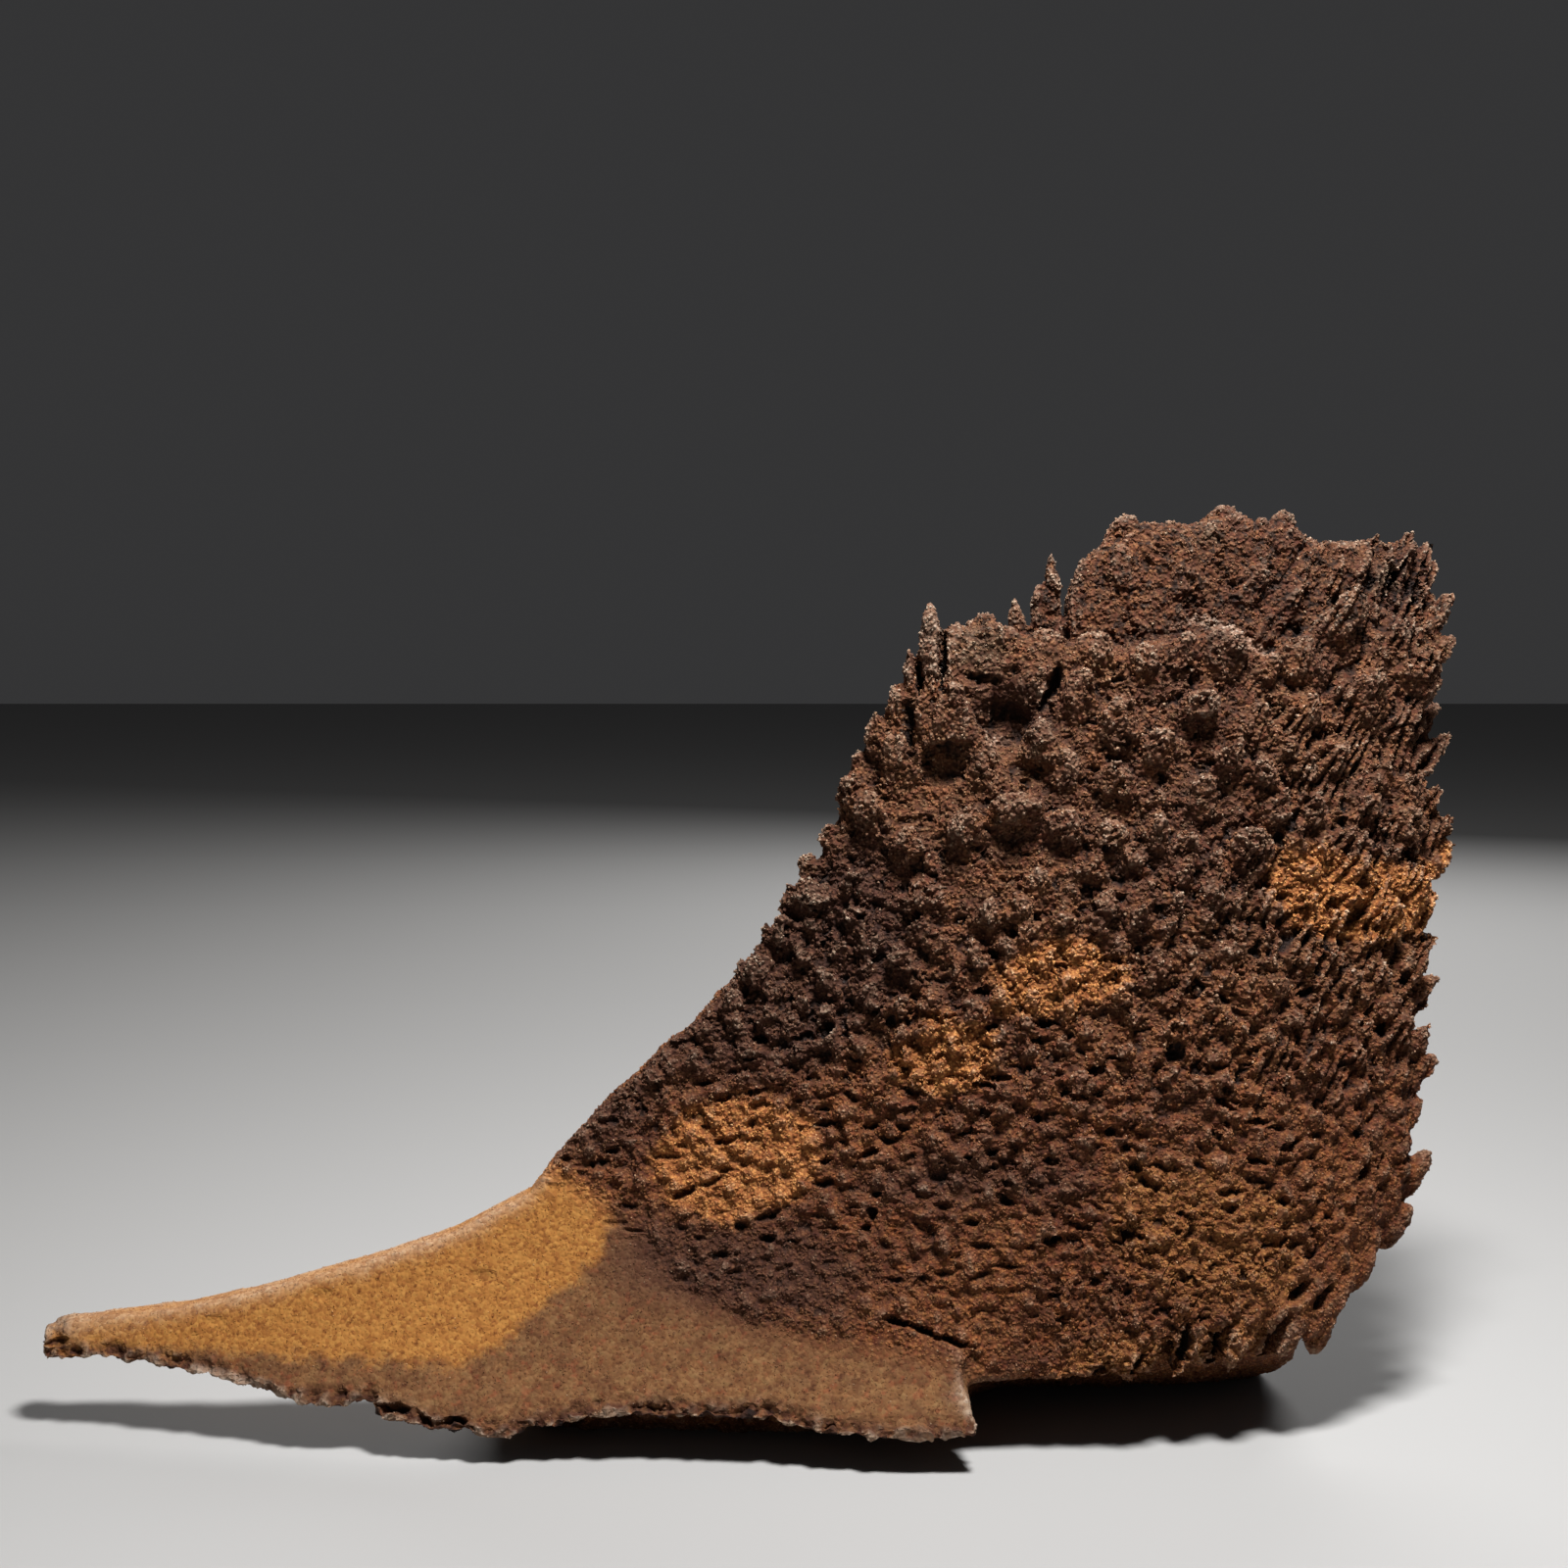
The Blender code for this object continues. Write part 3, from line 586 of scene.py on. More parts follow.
def grow(bm, surface, tip_x, tip_z, width, length, angle, taper, tilt, proud):
    """Set a scale with its tip at (tip_x, tip_z), rooted below it and leaning out."""
    turn = math.radians(angle)
    lean = math.radians(tilt)
    reach = length * math.cos(lean) / 2.0
    x = tip_x - math.cos(turn) * reach
    z = tip_z - math.sin(turn) * reach
    point, normal, right, up = face_frame(x, z, surface)
    growth = (right * math.cos(turn) + up * math.sin(turn)).normalized()
    along = growth * math.cos(lean) + normal * math.sin(lean)
    depth = min(0.85 * width, 4.0 + 0.25 * width)
    add_scale(bm, point + normal * proud, along, normal, width, length, depth, taper)


def grow_rows(bm, surface, rows, tilt, sunk, stretch=1.0):
    """Grow the scales of a table, each sunk by a share of its width."""
    for x, z, width, length, angle, taper in rows:
        grow(bm, surface, x, z, width, stretch * length, angle, taper, tilt, -sunk * width)


def scattered(rng, outline, spacing, tries):
    """Points inside an outline, no two closer than the spacing there; rows lie closer
    together than the points of one row."""
    kept = np.zeros((tries, 2))
    count = 0
    lowest = min(z for _, z in outline)
    highest = max(z for _, z in outline)
    for _ in range(tries):
        x = rng.uniform(-60.0, 156.0)
        z = rng.uniform(lowest, highest)
        if not inside(outline, x, z):
            continue
        apart = (kept[:count] - (x, z)) * (0.85, 1.2)
        if count == 0 or (apart**2).sum(axis=1).min() > spacing(x, z) ** 2:
            kept[count] = (x, z)
            count += 1
    return [(float(x), float(z)) for x, z in kept[:count]]


def scale_spacing(x, z):
    return table(SCALE_SPACING, z) * (1.0 + 0.3 * ease(0.75, 1.0, across(x, z)))


def pit_spacing(x, z):
    return 3.4 + 1.8 * fade(60.0, 110.0, z)


# ---- the parts of the form ----
def fan_thickness(x, z):
    from_edge = min(ease(0.0, 0.2, across(x, z)), ease(0.0, 0.15, 1.0 - across(x, z)))
    return FAN_EDGE_THICKNESS + (FAN_THICKNESS - FAN_EDGE_THICKNESS) * from_edge


def layer_y(x, z):
    return face_y(x, z) - hollow_depth(x, z) + LAYER_SETBACK


def layer_thickness(x, z):
    """Full at the rim, thinning downwards until the layer is lost in the fan's rear."""
    gain = LAYER_THICKNESS - LAYER_FOOT_THICKNESS
    return LAYER_FOOT_THICKNESS + gain * ease(108.0, 150.0, z)


def rear_y(x, z):
    deep = fan_thickness(x, z)
    if inside(LAYER_OUTLINE, x, z):
        deep = max(deep, LAYER_SETBACK + layer_thickness(x, z))
    return face_y(x, z) - hollow_depth(x, z) + deep


def heel_y(x, z):
    """The heel's front stays behind the plate and is cut under towards the ground."""
    undercut = 18.0 + 20.0 * ease(28.0, 50.0, x)
    return face_y(x, z) + 4.0 + undercut * max(0.0, 1.0 - z / 18.0)


def heel_thickness(x, z):
    low = max(0.0, 1.0 - max(0.0, z) / HEEL_HEIGHT)
    ends = ease(-64.0, -12.0, x) * (1.0 - ease(78.0, 122.0, x))
    flare = HEEL_FLARE * (0.55 + 0.45 * ends) * low**1.6
    return max(4.0, face_y(x, z) + FAN_EDGE_THICKNESS + flare - heel_y(x, z))


def add_face_scales(bm, rng):
    for lobe in CROWN_LOBES:
        grow(bm, face_y, *lobe)
    grow_rows(bm, face_y, FACE_SCALES, 21.0, 0.06, stretch=1.15)
    grow_rows(bm, face_y, EDGE_TEETH, 10.0, 0.4)
    named = FACE_SCALES + EDGE_TEETH + CROWN_LOBES
    for x, z in scattered(rng, FAN_OUTLINE, scale_spacing, 26000):
        bare = z < BARE_BELOW + 12.0 * rough(x, 0.0, z, 15.0)
        if bare or inside(SMOOTH_OUTLINE, x, z) or inside(CROWN_OUTLINE, x, z):
            continue
        gap = scale_spacing(x, z)
        if any((x - n[0]) ** 2 + (z - n[1]) ** 2 < (0.33 * (gap + n[2])) ** 2 for n in named):
            continue
        width = gap * (1.3 + 0.95 * rng.random() ** 2)
        length = gap * rng.uniform(2.0, 2.7)
        angle = growth_angle(x, z) + rng.uniform(-12.0, 12.0)
        tilt = rng.uniform(23.0, 37.0)
        sunk = gap * (rng.uniform(-0.28, -0.1) - 0.16 * (1.0 - ease(55.0, 90.0, z)))
        grow(bm, face_y, x, z, width, length, angle, rng.uniform(0.1, 0.5), tilt, sunk)


def add_claws(bm):
    for x, z, width, length, angle in CLAWS:
        turn = math.radians(angle)
        x += math.cos(turn) * length / 2.0
        z += math.sin(turn) * length / 2.0
        point, normal, right, up = face_frame(x, z, face_y)
        along = -(right * math.cos(turn) + up * math.sin(turn)).normalized()
        add_scale(bm, point - normal * 2.5, along, normal, width, length, 9.0, 0.25)


def add_layer_teeth(bm):
    grow_rows(bm, layer_y, LAYER_TEETH, 6.0, 0.35)
    grow_rows(bm, layer_y, LAYER_FLUTES, 7.0, 0.12)


def add_rear_ridges(bm, rng):
    """Long low ridges that follow the growth on the plate's rear."""
    places = scattered(rng, FAN_OUTLINE, lambda x, z: RIDGE_SPACING, 1500)
    places += scattered(rng, LAYER_OUTLINE, lambda x, z: RIDGE_SPACING, 700)
    for x, z in places:
        if z < 45.0 or not 0.12 < across(x, z) < 0.93:
            continue
        width = RIDGE_SPACING * rng.uniform(0.8, 1.3)
        length = RIDGE_SPACING * rng.uniform(1.8, 3.2)
        turn = math.radians(growth_angle(x, z) + rng.uniform(-10.0, 10.0))
        if z + 0.5 * length > 172.0 + 14.0 * ease(70.0, 76.0, x):
            continue
        along = Vector((math.cos(turn), 0.25, math.sin(turn))).normalized()
        centre = Vector((x, rear_y(x, z) - 1.0, z))
        add_scale(bm, centre, along, Vector((0, 1, 0)), width, length, 0.6 * width, 0.2)


def keep_largest_shell(mesh):
    """Drop the small closed shells left inside the skin."""
    with editing(mesh) as bm:
        unseen = set(bm.verts)
        shells = []
        while unseen:
            shell = [unseen.pop()]
            for vertex in shell:
                ring = {edge.other_vert(vertex) for edge in vertex.link_edges} & unseen
                unseen -= ring
                shell += ring
            shells.append(shell)
        shells.sort(key=len)
        for shell in shells[:-1]:
            bmesh.ops.delete(bm, geom=shell, context="VERTS")


def join(target, others):
    """Merge the meshes of other objects into the target's mesh."""
    with editing(target.data) as bm:
        for ob in others:
            bm.from_mesh(ob.data)
            bpy.data.objects.remove(ob)


# ---- the fine crust ----
def crumb_share(points, normals):
    """How loose the crust is at each point, from 0, sound, to 1."""
    x, _, z = points.T
    # The middle is loosest; the lower right is loose too.
    share = (0.45 + 0.55 * fade(45.0, 100.0, z)) * (1.0 - 0.25 * fade(158.0, 170.0, z))
    share = np.maximum(share, fade(44.0, 60.0, x) * (1.0 - fade(35.0, 75.0, z)))
    # The crown, the thin lower right edge, the rear and the tongue are sounder.
    share *= 1.0 - 0.3 * fade(125.0, 140.0, z) * fade(74.0, 62.0, x)
    thin = fade(92.0, 104.0, x) * (1.0 - fade(42.0, 58.0, z))
    share *= 1.0 - 0.6 * thin * (1.0 - fade(3.0, 9.0, outline_distance(FAN_OUTLINE, x, z)))
    share *= 1.0 - 0.4 * fade(0.0, 0.5, normals[:, 1])
    share *= 1.0 - 0.85 * tongue_share(x, z) * fade(1.0, 4.5, height_over_rim(x, z))
    return share


def crumble(ob):
    """Break the lobes' smooth backs up: shift the surface about, then raise crumbs of a few
    grains with seams and pores between them."""
    noise.seed_set(SEED)
    points = vertex_array(ob.data, "co")
    share = crumb_share(points, vertex_array(ob.data, "normal"))
    for i, (point, loose) in enumerate(zip(points.tolist(), share.tolist())):
        spot = Vector(point)
        shift = noise.noise_vector(spot / LUMP) * LUMP_SHIFT
        shift += noise.noise_vector(spot / CLOT) * CLOT_SHIFT
        points[i] = spot + shift * loose
    set_points(ob.data, points)
    normals = vertex_array(ob.data, "normal")
    raised = np.zeros(len(points))
    for i, point in enumerate(points.tolist()):
        spot = Vector(point)
        groove = growth_groove(*point)
        spot += noise.noise_vector(spot / CRUMB) * (0.35 * CRUMB)
        near = noise.voronoi(spot / CRUMB)[0]
        seam = min((near[1] - near[0]) / 0.4, 1.0)
        pore = max(noise.noise(spot / PORE_CELL) - 0.1, 0.0)
        raised[i] = CRUMB_HEIGHT * (seam - 0.7) - PORE_DEPTH * pore * (1.2 - seam) - groove
    points += normals * (raised * share)[:, None]
    set_points(ob.data, points)


def growth_groove(x, y, z):
    """Depth of the grooves between the flutes: strongest on the fan's right, patchy, a little
    on the crown."""
    share = max(ease(0.55, 0.8, across(x, z)), 0.35 * ease(128.0, 145.0, z) * ease(75.0, 62.0, x))
    share *= ease(55.0, 85.0, z)
    if share <= 0.0:
        return 0.0
    turn = math.radians(CROWN_FLUTE_ANGLE if x < 75.0 else FLUTE_ANGLE)
    over = x * math.sin(turn) - z * math.cos(turn)
    up = x * math.cos(turn) + z * math.sin(turn)
    wander = noise.noise(Vector((over / FLUTE_PATCH, up / FLUTE_LENGTH, y / FLUTE_PATCH)))
    patchy = noise.noise(Vector((over / FLUTE_PATCH, up / FLUTE_PATCH, 7.0 + y / FLUTE_PATCH)))
    rib = abs(math.sin(math.pi * (over / FLUTE_SPACING + 1.4 * wander)))
    deep = GROOVE_DEPTH * (1.0 + 0.4 * ease(160.0, 174.0, z))
    return deep * share * ease(-0.35, 0.25, patchy) * (1.0 - rib) ** 1.2


def chance_pits(rng):
    """Wide low pits scattered over the lower face, along the rows of scales."""
    pits = []
    for x, z in scattered(rng, FAN_OUTLINE, pit_spacing, 9000):
        share = fade(24.0, 44.0, z) * (1.0 - 0.7 * fade(85.0, 120.0, z))
        half_width = rng.uniform(0.9, 3.0)
        half_height = rng.uniform(0.45, 0.9)
        share *= 0.3 + 0.7 * fade(-0.1, 0.3, rough(x, 9.0, z, 8.0))
        here = np.array(((x,), (z,)))
        share *= 1.0 - tongue_share(*here)[0]
        depth = rng.uniform(0.8, 2.2) * share
        if x > 90.0 and z < 50.0:
            depth *= fade(2.0, 8.0, outline_distance(FAN_OUTLINE, *here))[0]
        turn = growth_angle(x, z) - 90.0 * (1.0 - fade(0.7, 0.9, across(x, z)))
        pits.append((x, z, half_width, half_height, turn + rng.uniform(-16.0, 16.0), depth))
    return pits


def carve_pits(ob, rng):
    """Sink the pits of the face and the named cracks and chips.  A pit is steep under its
    upper lip and runs out gently below."""
    points = vertex_array(ob.data, "co")
    facing = vertex_array(ob.data, "normal")[:, 1] < 0.35
    order = np.argsort(points[:, 0])
    sorted_x = points[order, 0]
    sunk = np.zeros_like(points)
    for x, z, half_width, half_height, angle, depth in [*NAMED_PITS, *chance_pits(rng)]:
        surface = sweep_y if x < -30.0 else face_y
        centre, normal, _, _ = face_frame(x, z, surface)
        turn = math.radians(angle)
        low, high = np.searchsorted(sorted_x, (x - PIT_REACH, x + PIT_REACH))
        near = order[low:high]
        near = near[facing[near]]
        away = points[near] - np.array(centre)
        dx, dz = away[:, 0], away[:, 2]
        u = dx * math.cos(turn) + dz * math.sin(turn)
        v = dz * math.cos(turn) - dx * math.sin(turn)
        tall = np.where(v > 0.0, 0.7, 1.5) * half_height
        reach = np.hypot(u / half_width, v / tall)
        near_face = np.abs(away @ np.array(normal)) < PIT_REACH
        sink = depth * (1.0 - fade(0.5, 1.25, reach)) * near_face
        sunk[near] -= sink[:, None] * np.array(normal)
    set_points(ob.data, points + sunk)


def roughen_rim(ob):
    """Break up the tongue's lower rim."""
    points = vertex_array(ob.data, "co")
    normals = vertex_array(ob.data, "normal")
    share = rim_share(points[:, 0], points[:, 2])
    for i in np.nonzero((share > 0.0) & (points[:, 0] < 44.0))[0]:
        x, y, z = points[i]
        bumpy = 1.2 * rough(x, y, z, 2.4) + 1.1 * rough(z, x, y, 5.0) - 0.3
        points[i] += normals[i] * (bumpy * share[i])
    set_points(ob.data, points)


def thin_out(ob, target):
    """Fewer faces where the crust is plain."""
    ratio = min(target / (2.0 * len(ob.data.polygons)), 1.0)
    apply_modifier(ob, "DECIMATE", ratio=ratio, use_collapse_triangulate=True)


def cut_off(mesh, place_at, direction):
    """Cut away what lies beyond a plane, on the side it faces, and close the cut."""
    with editing(mesh) as bm:
        everything = bm.verts[:] + bm.edges[:] + bm.faces[:]
        cut = bmesh.ops.bisect_plane(
            bm, geom=everything, plane_co=place_at, plane_no=direction, clear_outer=True
        )
        rim = [part for part in cut["geom_cut"] if isinstance(part, bmesh.types.BMEdge)]
        bmesh.ops.holes_fill(bm, edges=rim, sides=0)
        bmesh.ops.triangulate(bm, faces=[face for face in bm.faces if len(face.verts) > 3])


def halve(crust):
    """Part the finished crust in two closed pieces of about as many faces."""
    middle = float(np.median(vertex_array(crust.data, "co")[:, 0]))
    halves = []
    for name, outward in (("toe_crust", 1.0), ("claw_crust", -1.0)):
        mesh = crust.data.copy()
        mesh.name = name
        cut_off(mesh, (middle, 0.0, 0.0), (outward, 0.0, 0.0))
        halves.append(new_object(name, mesh))
    bpy.data.objects.remove(crust)
    return halves


def grow_crust():
    rng = random.Random(SEED)
    crust = plate("crust", FAN_OUTLINE, face_y, fan_thickness)
    layer = plate("rear layer", LAYER_OUTLINE, layer_y, layer_thickness)
    tongue = plate("tongue", TONGUE_OUTLINE, sweep_y, lambda x, z: TONGUE_THICKNESS)
    heel = plate("heel", HEEL_OUTLINE, heel_y, heel_thickness, 4.0)
    lumps = new_object("lumps", bpy.data.meshes.new("lumps"))
    with editing(lumps.data) as bm:
        add_face_scales(bm, rng)
        add_claws(bm)
        add_layer_teeth(bm)
        add_rear_ridges(bm, rng)
    join(crust, [layer, tongue, heel, lumps])
    voxel_skin(crust, VOXEL)
    carve_pits(crust, rng)
    roughen_rim(crust)
    crumble(crust)
    keep_largest_shell(crust.data)
    thin_out(crust, CRUST_TRIANGLES)
    cut_off(crust.data, (0.0, 0.0, 0.0), (0.0, 0.0, -1.0))
    points = vertex_array(crust.data, "co") - (*MIDDLE, 0.0)
    set_points(crust.data, np.clip(points * TO_METRES, SOLID_LOW, SOLID_HIGH))
    crust.data.shade_flat()
    return crust


def relief(mesh, rounds):
    """How far each vertex stands out from the smoothed surface around it, in metres."""
    a, b = read(mesh.edges, "vertices", 2, np.int64).T
    count = len(mesh.vertices)
    neighbours = np.bincount(a, minlength=count) + np.bincount(b, minlength=count)
    start = vertex_array(mesh, "co")
    smooth = start
    for _ in range(rounds):
        total = [
            np.bincount(a, column[b], count) + np.bincount(b, column[a], count)
            for column in smooth.T
        ]
        smooth = 0.4 * smooth + 0.6 * np.transpose(total) / neighbours[:, None]
    return ((start - smooth) * vertex_array(mesh, "normal")).sum(axis=1)


# ---- clinging sand ----
def random_turns(rng, count):
    """That many random rotations, as 3 x 3 matrices."""
    q = rng.normal(size=(count, 4))
    w, x, y, z = (q / np.linalg.norm(q, axis=1)[:, None]).T
    rows = (
        (1 - 2 * (y * y + z * z), 2 * (x * y - z * w), 2 * (x * z + y * w)),
        (2 * (x * y + z * w), 1 - 2 * (x * x + z * z), 2 * (y * z - x * w)),
        (2 * (x * z - y * w), 2 * (y * z + x * w), 1 - 2 * (x * x + y * y)),
    )
    return np.moveaxis(np.array(rows), 2, 0)


def cling_sand(name, crust, count, seed, wanted, sizes):
    """Angular grains part sunk in the crust.  wanted(points, normals) weighs each face and
    sizes are the least, usual and greatest radius in millimetres."""
    rng = np.random.default_rng(seed)
    crust.data.calc_loop_triangles()
    corners = read(crust.data.loop_triangles, "vertices", kind=np.int64)
    standing = read(crust.data.attributes["relief"].data, "value", 1, np.float32)[:, 0]
    a, b, c = (vertex_array(crust.data, "co")[corners[:, i]] for i in range(3))
    cross = np.cross(b - a, c - a)
    area = np.linalg.norm(cross, axis=1) / 2.0
    normals = cross / np.maximum(2.0 * area, 1e-12)[:, None]
    middles = (a + b + c) / 3.0
    weight = area * wanted(middles, normals) / grain_share(middles) ** 2
    chosen = rng.choice(len(area), size=count, p=weight / weight.sum())
    u, v = np.sqrt(rng.random(count)), rng.random(count)
    spots = (
        a[chosen] * (1 - u)[:, None] + b[chosen] * (u * (1 - v))[:, None]
        + c[chosen] * (u * v)[:, None]
    )
    radius = rng.triangular(*sizes, size=count) * TO_METRES * grain_share(spots)
    shape = GRAIN_CORNERS * rng.uniform(*GRAIN_STRETCH, size=(count, 6, 1))
    shape = np.einsum("nij,nkj->nki", random_turns(rng, count), shape) * radius[:, None, None]
    sunk = spots + normals[chosen] * (radius * rng.uniform(*GRAIN_SUNK, count))[:, None]
    points = sunk[:, None, :] + shape
    fits = ((points > SOLID_LOW) & (points < SOLID_HIGH)).all(axis=(1, 2))
    points = points[fits]
    tone = rng.random(len(points))
    triangles = GRAIN_FACES[None] + 6 * np.arange(len(points))[:, None, None]
    grains = new_object(name, bpy.data.meshes.new(name))
    grains.data.from_pydata(points.reshape(-1, 3), [], triangles.reshape(-1, 3))
    write_value(grains.data, "tone", np.repeat(tone, 6))
    write_value(grains.data, "relief", np.repeat(standing[corners[chosen, 0]][fits], 6))
    write_places(grains.data, np.repeat(spots[fits], 6, axis=0))
    return grains


def grain_share(points):
    """Grains are finer on the lower face."""
    return 0.6 + 0.4 * fade(0.045, 0.095, points[:, 2])


def growing_xz(points):
    """x and z in the growing frame, mm, of points in the row frame."""
    return points[:, 0] / TO_METRES + MIDDLE[0], points[:, 2] / TO_METRES


def mid_plane(x, z):
    """y of the middle of the plate, in the growing frame: stains in front of it only."""
    if z > LAYER_BARE_ABOVE:
        return layer_y(x, z) + 0.5 * layer_thickness(x, z)
    return face_y(x, z) + 0.5 * fan_thickness(x, z)


def write_places(mesh, points):
    """Values that say where a finish belongs: how far inside a stain, and how far on the
    smooth tongue."""
    x, z = growing_xz(points)
    y = points[:, 1] / TO_METRES + MIDDLE[1]
    middle = [mid_plane(px, pz) for px, pz in zip(x.tolist(), z.tolist())]
    front = (x < TONGUE_END) | (y < middle)
    for name, outlines in STAINS.items():
        depth = np.max([outline_distance(outline, x, z) for outline in outlines], axis=0)
        write_value(mesh, name, np.where(front, depth, FAR_OUTSIDE))
    write_value(mesh, "tongue", tongue_share(x, z) * front)
    write_value(mesh, "rim", rim_share(x, z) * front)


def on_tongue(points):
    return tongue_share(*growing_xz(points))


def scaly_wanted(points, normals):
    """Grains for the scaled face and the top, facing forwards or up."""
    forward = np.clip(0.5 - normals[:, 1], 0.0, 1.0)
    upward = 0.4 + 0.6 * np.clip(normals[:, 2] + 0.6, 0.0, 1.0)
    return forward * upward * (1.0 - on_tongue(points))


def smooth_wanted(points, normals):
    """Grains for the smooth tongue."""
    return np.clip(0.5 - normals[:, 1] + normals[:, 2], 0.0, 1.0) * on_tongue(points)


def rear_wanted(points, normals):
    """Grains for what faces backwards, clear of the ground."""
    return np.clip(normals[:, 1] + 0.1, 0.0, 1.0) * (points[:, 2] > 0.002)


# Sand: piece, number of grains, seed, where they are wanted, sizes.
SAND = (
    *((f"face_grit_{seed}", 16500, seed, scaly_wanted, COARSE) for seed in (1, 2, 3)),
    ("tongue_sand", 11500, 4, smooth_wanted, FINE),
    ("rear_grit", 14500, 5, rear_wanted, COARSE),
)


# ---- finishes ----
def set_input(tree, socket, value):
    """Link the socket if value is another node's output, or else set it."""
    if isinstance(value, bpy.types.NodeSocket):
        tree.links.new(value, socket)
    else:
        socket.default_value = value


def maths(tree, operation, a, b):
    node = tree.nodes.new("ShaderNodeMath")
    node.operation = operation
    set_input(tree, node.inputs[0], a)
    set_input(tree, node.inputs[1], b)
    return node.outputs[0]


def remap(tree, value, low, high, to_low=0.0, to_high=1.0, smooth=True):
    """value taken from the range low to high into the range to_low to to_high."""
    node = tree.nodes.new("ShaderNodeMapRange")
    node.interpolation_type = "SMOOTHSTEP" if smooth else "LINEAR"
    set_input(tree, node.inputs["Value"], value)
    for label, end in (
        ("From Min", low), ("From Max", high), ("To Min", to_low), ("To Max", to_high)
    ):
        node.inputs[label].default_value = end
    return node.outputs["Result"]


def blend_colours(tree, share, a, b, how="MIX"):
    node = tree.nodes.new("ShaderNodeMix")
    node.data_type = "RGBA"
    node.blend_type = how
    set_input(tree, node.inputs[0], share)
    set_input(tree, node.inputs[6], a)
    set_input(tree, node.inputs[7], b)
    return node.outputs[2]


def noise_texture(tree, position, cell, detail, roughness):
    """Soft noise between 0 and 1; cell is in millimetres."""
    node = tree.nodes.new("ShaderNodeTexNoise")
    set_input(tree, node.inputs["Vector"], position)
    node.inputs["Scale"].default_value = 1.0 / (cell * TO_METRES)
    node.inputs["Detail"].default_value = detail
    node.inputs["Roughness"].default_value = roughness
    return node.outputs["Fac"]


def stone_colour_group():
    """Colour of the cemented sand: brown crust, ochre and tan stains, the greyer tongue."""
    tree = bpy.data.node_groups.new("stone colour", "ShaderNodeTree")
    tree.interface.new_socket("Position", in_out="INPUT", socket_type="NodeSocketVector")
    for label, _, default in (*STONE_VALUES, ("Tone", "tone", 0.5)):
        socket = tree.interface.new_socket(label, in_out="INPUT", socket_type="NodeSocketFloat")
        socket.default_value = default
    tree.interface.new_socket("Color", in_out="OUTPUT", socket_type="NodeSocketColor")
    told = tree.nodes.new("NodeGroupInput").outputs
    result = tree.nodes.new("NodeGroupOutput")
    mask = functools.partial(remap, tree)
    blend = functools.partial(blend_colours, tree)
    texture = functools.partial(noise_texture, tree)
    times = functools.partial(maths, tree, "MULTIPLY")
    plus = functools.partial(maths, tree, "ADD")
    position = told["Position"]
    tongue = told["Tongue"]
    patches = texture(position, PATCH_CELL, 3.0, 0.6)
    mottle = texture(position, MOTTLE_CELL, 4.0, 0.65)
    crumbs = texture(position, CRUMB_CELL, 2.0, 0.5)
    drift = times(maths(tree, "SUBTRACT", mottle, 0.5), STAIN_DRIFT)

    # The crust's own browns, and the tongue's.
    brown = blend(mask(patches, 0.38, 0.62), BROWN_DARK, BROWN)
    brown = blend(mask(mottle, 0.45, 0.75), brown, BROWN_WARM)
    band = blend(mask(mottle, 0.35, 0.65), BAND_DARK, BAND)
    brown = blend(tongue, brown, band)
    brown = blend(mask(crumbs, 0.55, 0.7, 0.0, 0.5), brown, RED_BROWN)
    brown = blend(mask(crumbs, 0.45, 0.3, 0.0, 0.4), brown, OLIVE_BROWN)

    # Warmer low down, darker in the shade outlines, greyer at the top, and cracks painted dark as
    # painted shade, most of all at the top.
    spot = tree.nodes.new("ShaderNodeSeparateXYZ")
    tree.links.new(position, spot.inputs["Vector"])
    low = mask(spot.outputs["Z"], *LOW_ZONE)
    low = times(low, mask(tongue, 0.0, 1.0, 1.0, 0.45))
    brown = blend(low, brown, LOW_TINT, "MULTIPLY")
    # Darker in the shade outlines: painted shade in part, darker crust in part.
    shaded = plus(told["Shade Depth"], drift)
    brown = blend(mask(shaded, -6.0, 6.0, 0.0, 0.8), brown, UMBER_AND_SHADE)
    high = mask(spot.outputs["Z"], *HIGH_ZONE)
    brown = blend(high, brown, HIGH_TINT, "MULTIPLY")
    # Painted shade: a network of cracks painted near-black, a quarter as strong below the top, none
    # on the tongue.
    cracked = mask(high, 0.0, 1.0, 0.25, 1.0)
    cracked = times(cracked, mask(tongue, 0.0, 1.0, 1.0, 0.0))
    brown = blend(times(mask(crumbs, 0.48, 0.38, 0.0, 0.75), cracked), brown, PAINTED_SHADE)

    # Stains, the tongue's dark specks, the film and the rim.
    faint = plus(told["Tan Depth"], drift)
    brown = blend(mask(faint, -4.0, 5.0, 0.0, 0.8), brown, TAN)
    edge = plus(told["Ochre Depth"], times(drift, 0.6))
    ochre = maths(tree, "MAXIMUM", mask(mottle, 0.3, 0.45, 0.7, 1.0), tongue)
    ochre = times(mask(edge, -1.0, 2.6), ochre)
    brown = blend(ochre, brown, blend(tongue, OCHRE_BROWN, OCHRE))
    specks = texture(position, SPECK_CELL, 2.0, 0.6)
    specks = times(mask(specks, 0.42, 0.3, 0.0, 0.8), tongue)
    brown = blend(specks, brown, blend(1.0, brown, SPECK, "MULTIPLY"))
    film = plus(told["Film Depth"], times(drift, 0.5))
    film = times(mask(film, -1.5, 1.5), mask(crumbs, 0.4, 0.6, 0.1, 0.4))
    brown = blend(film, brown, GREY_FILM)
    rim = times(told["Rim"], mask(crumbs, 0.4, 0.6, 1.0, 0.4))
    brown = blend(rim, brown, RIM_DARK)

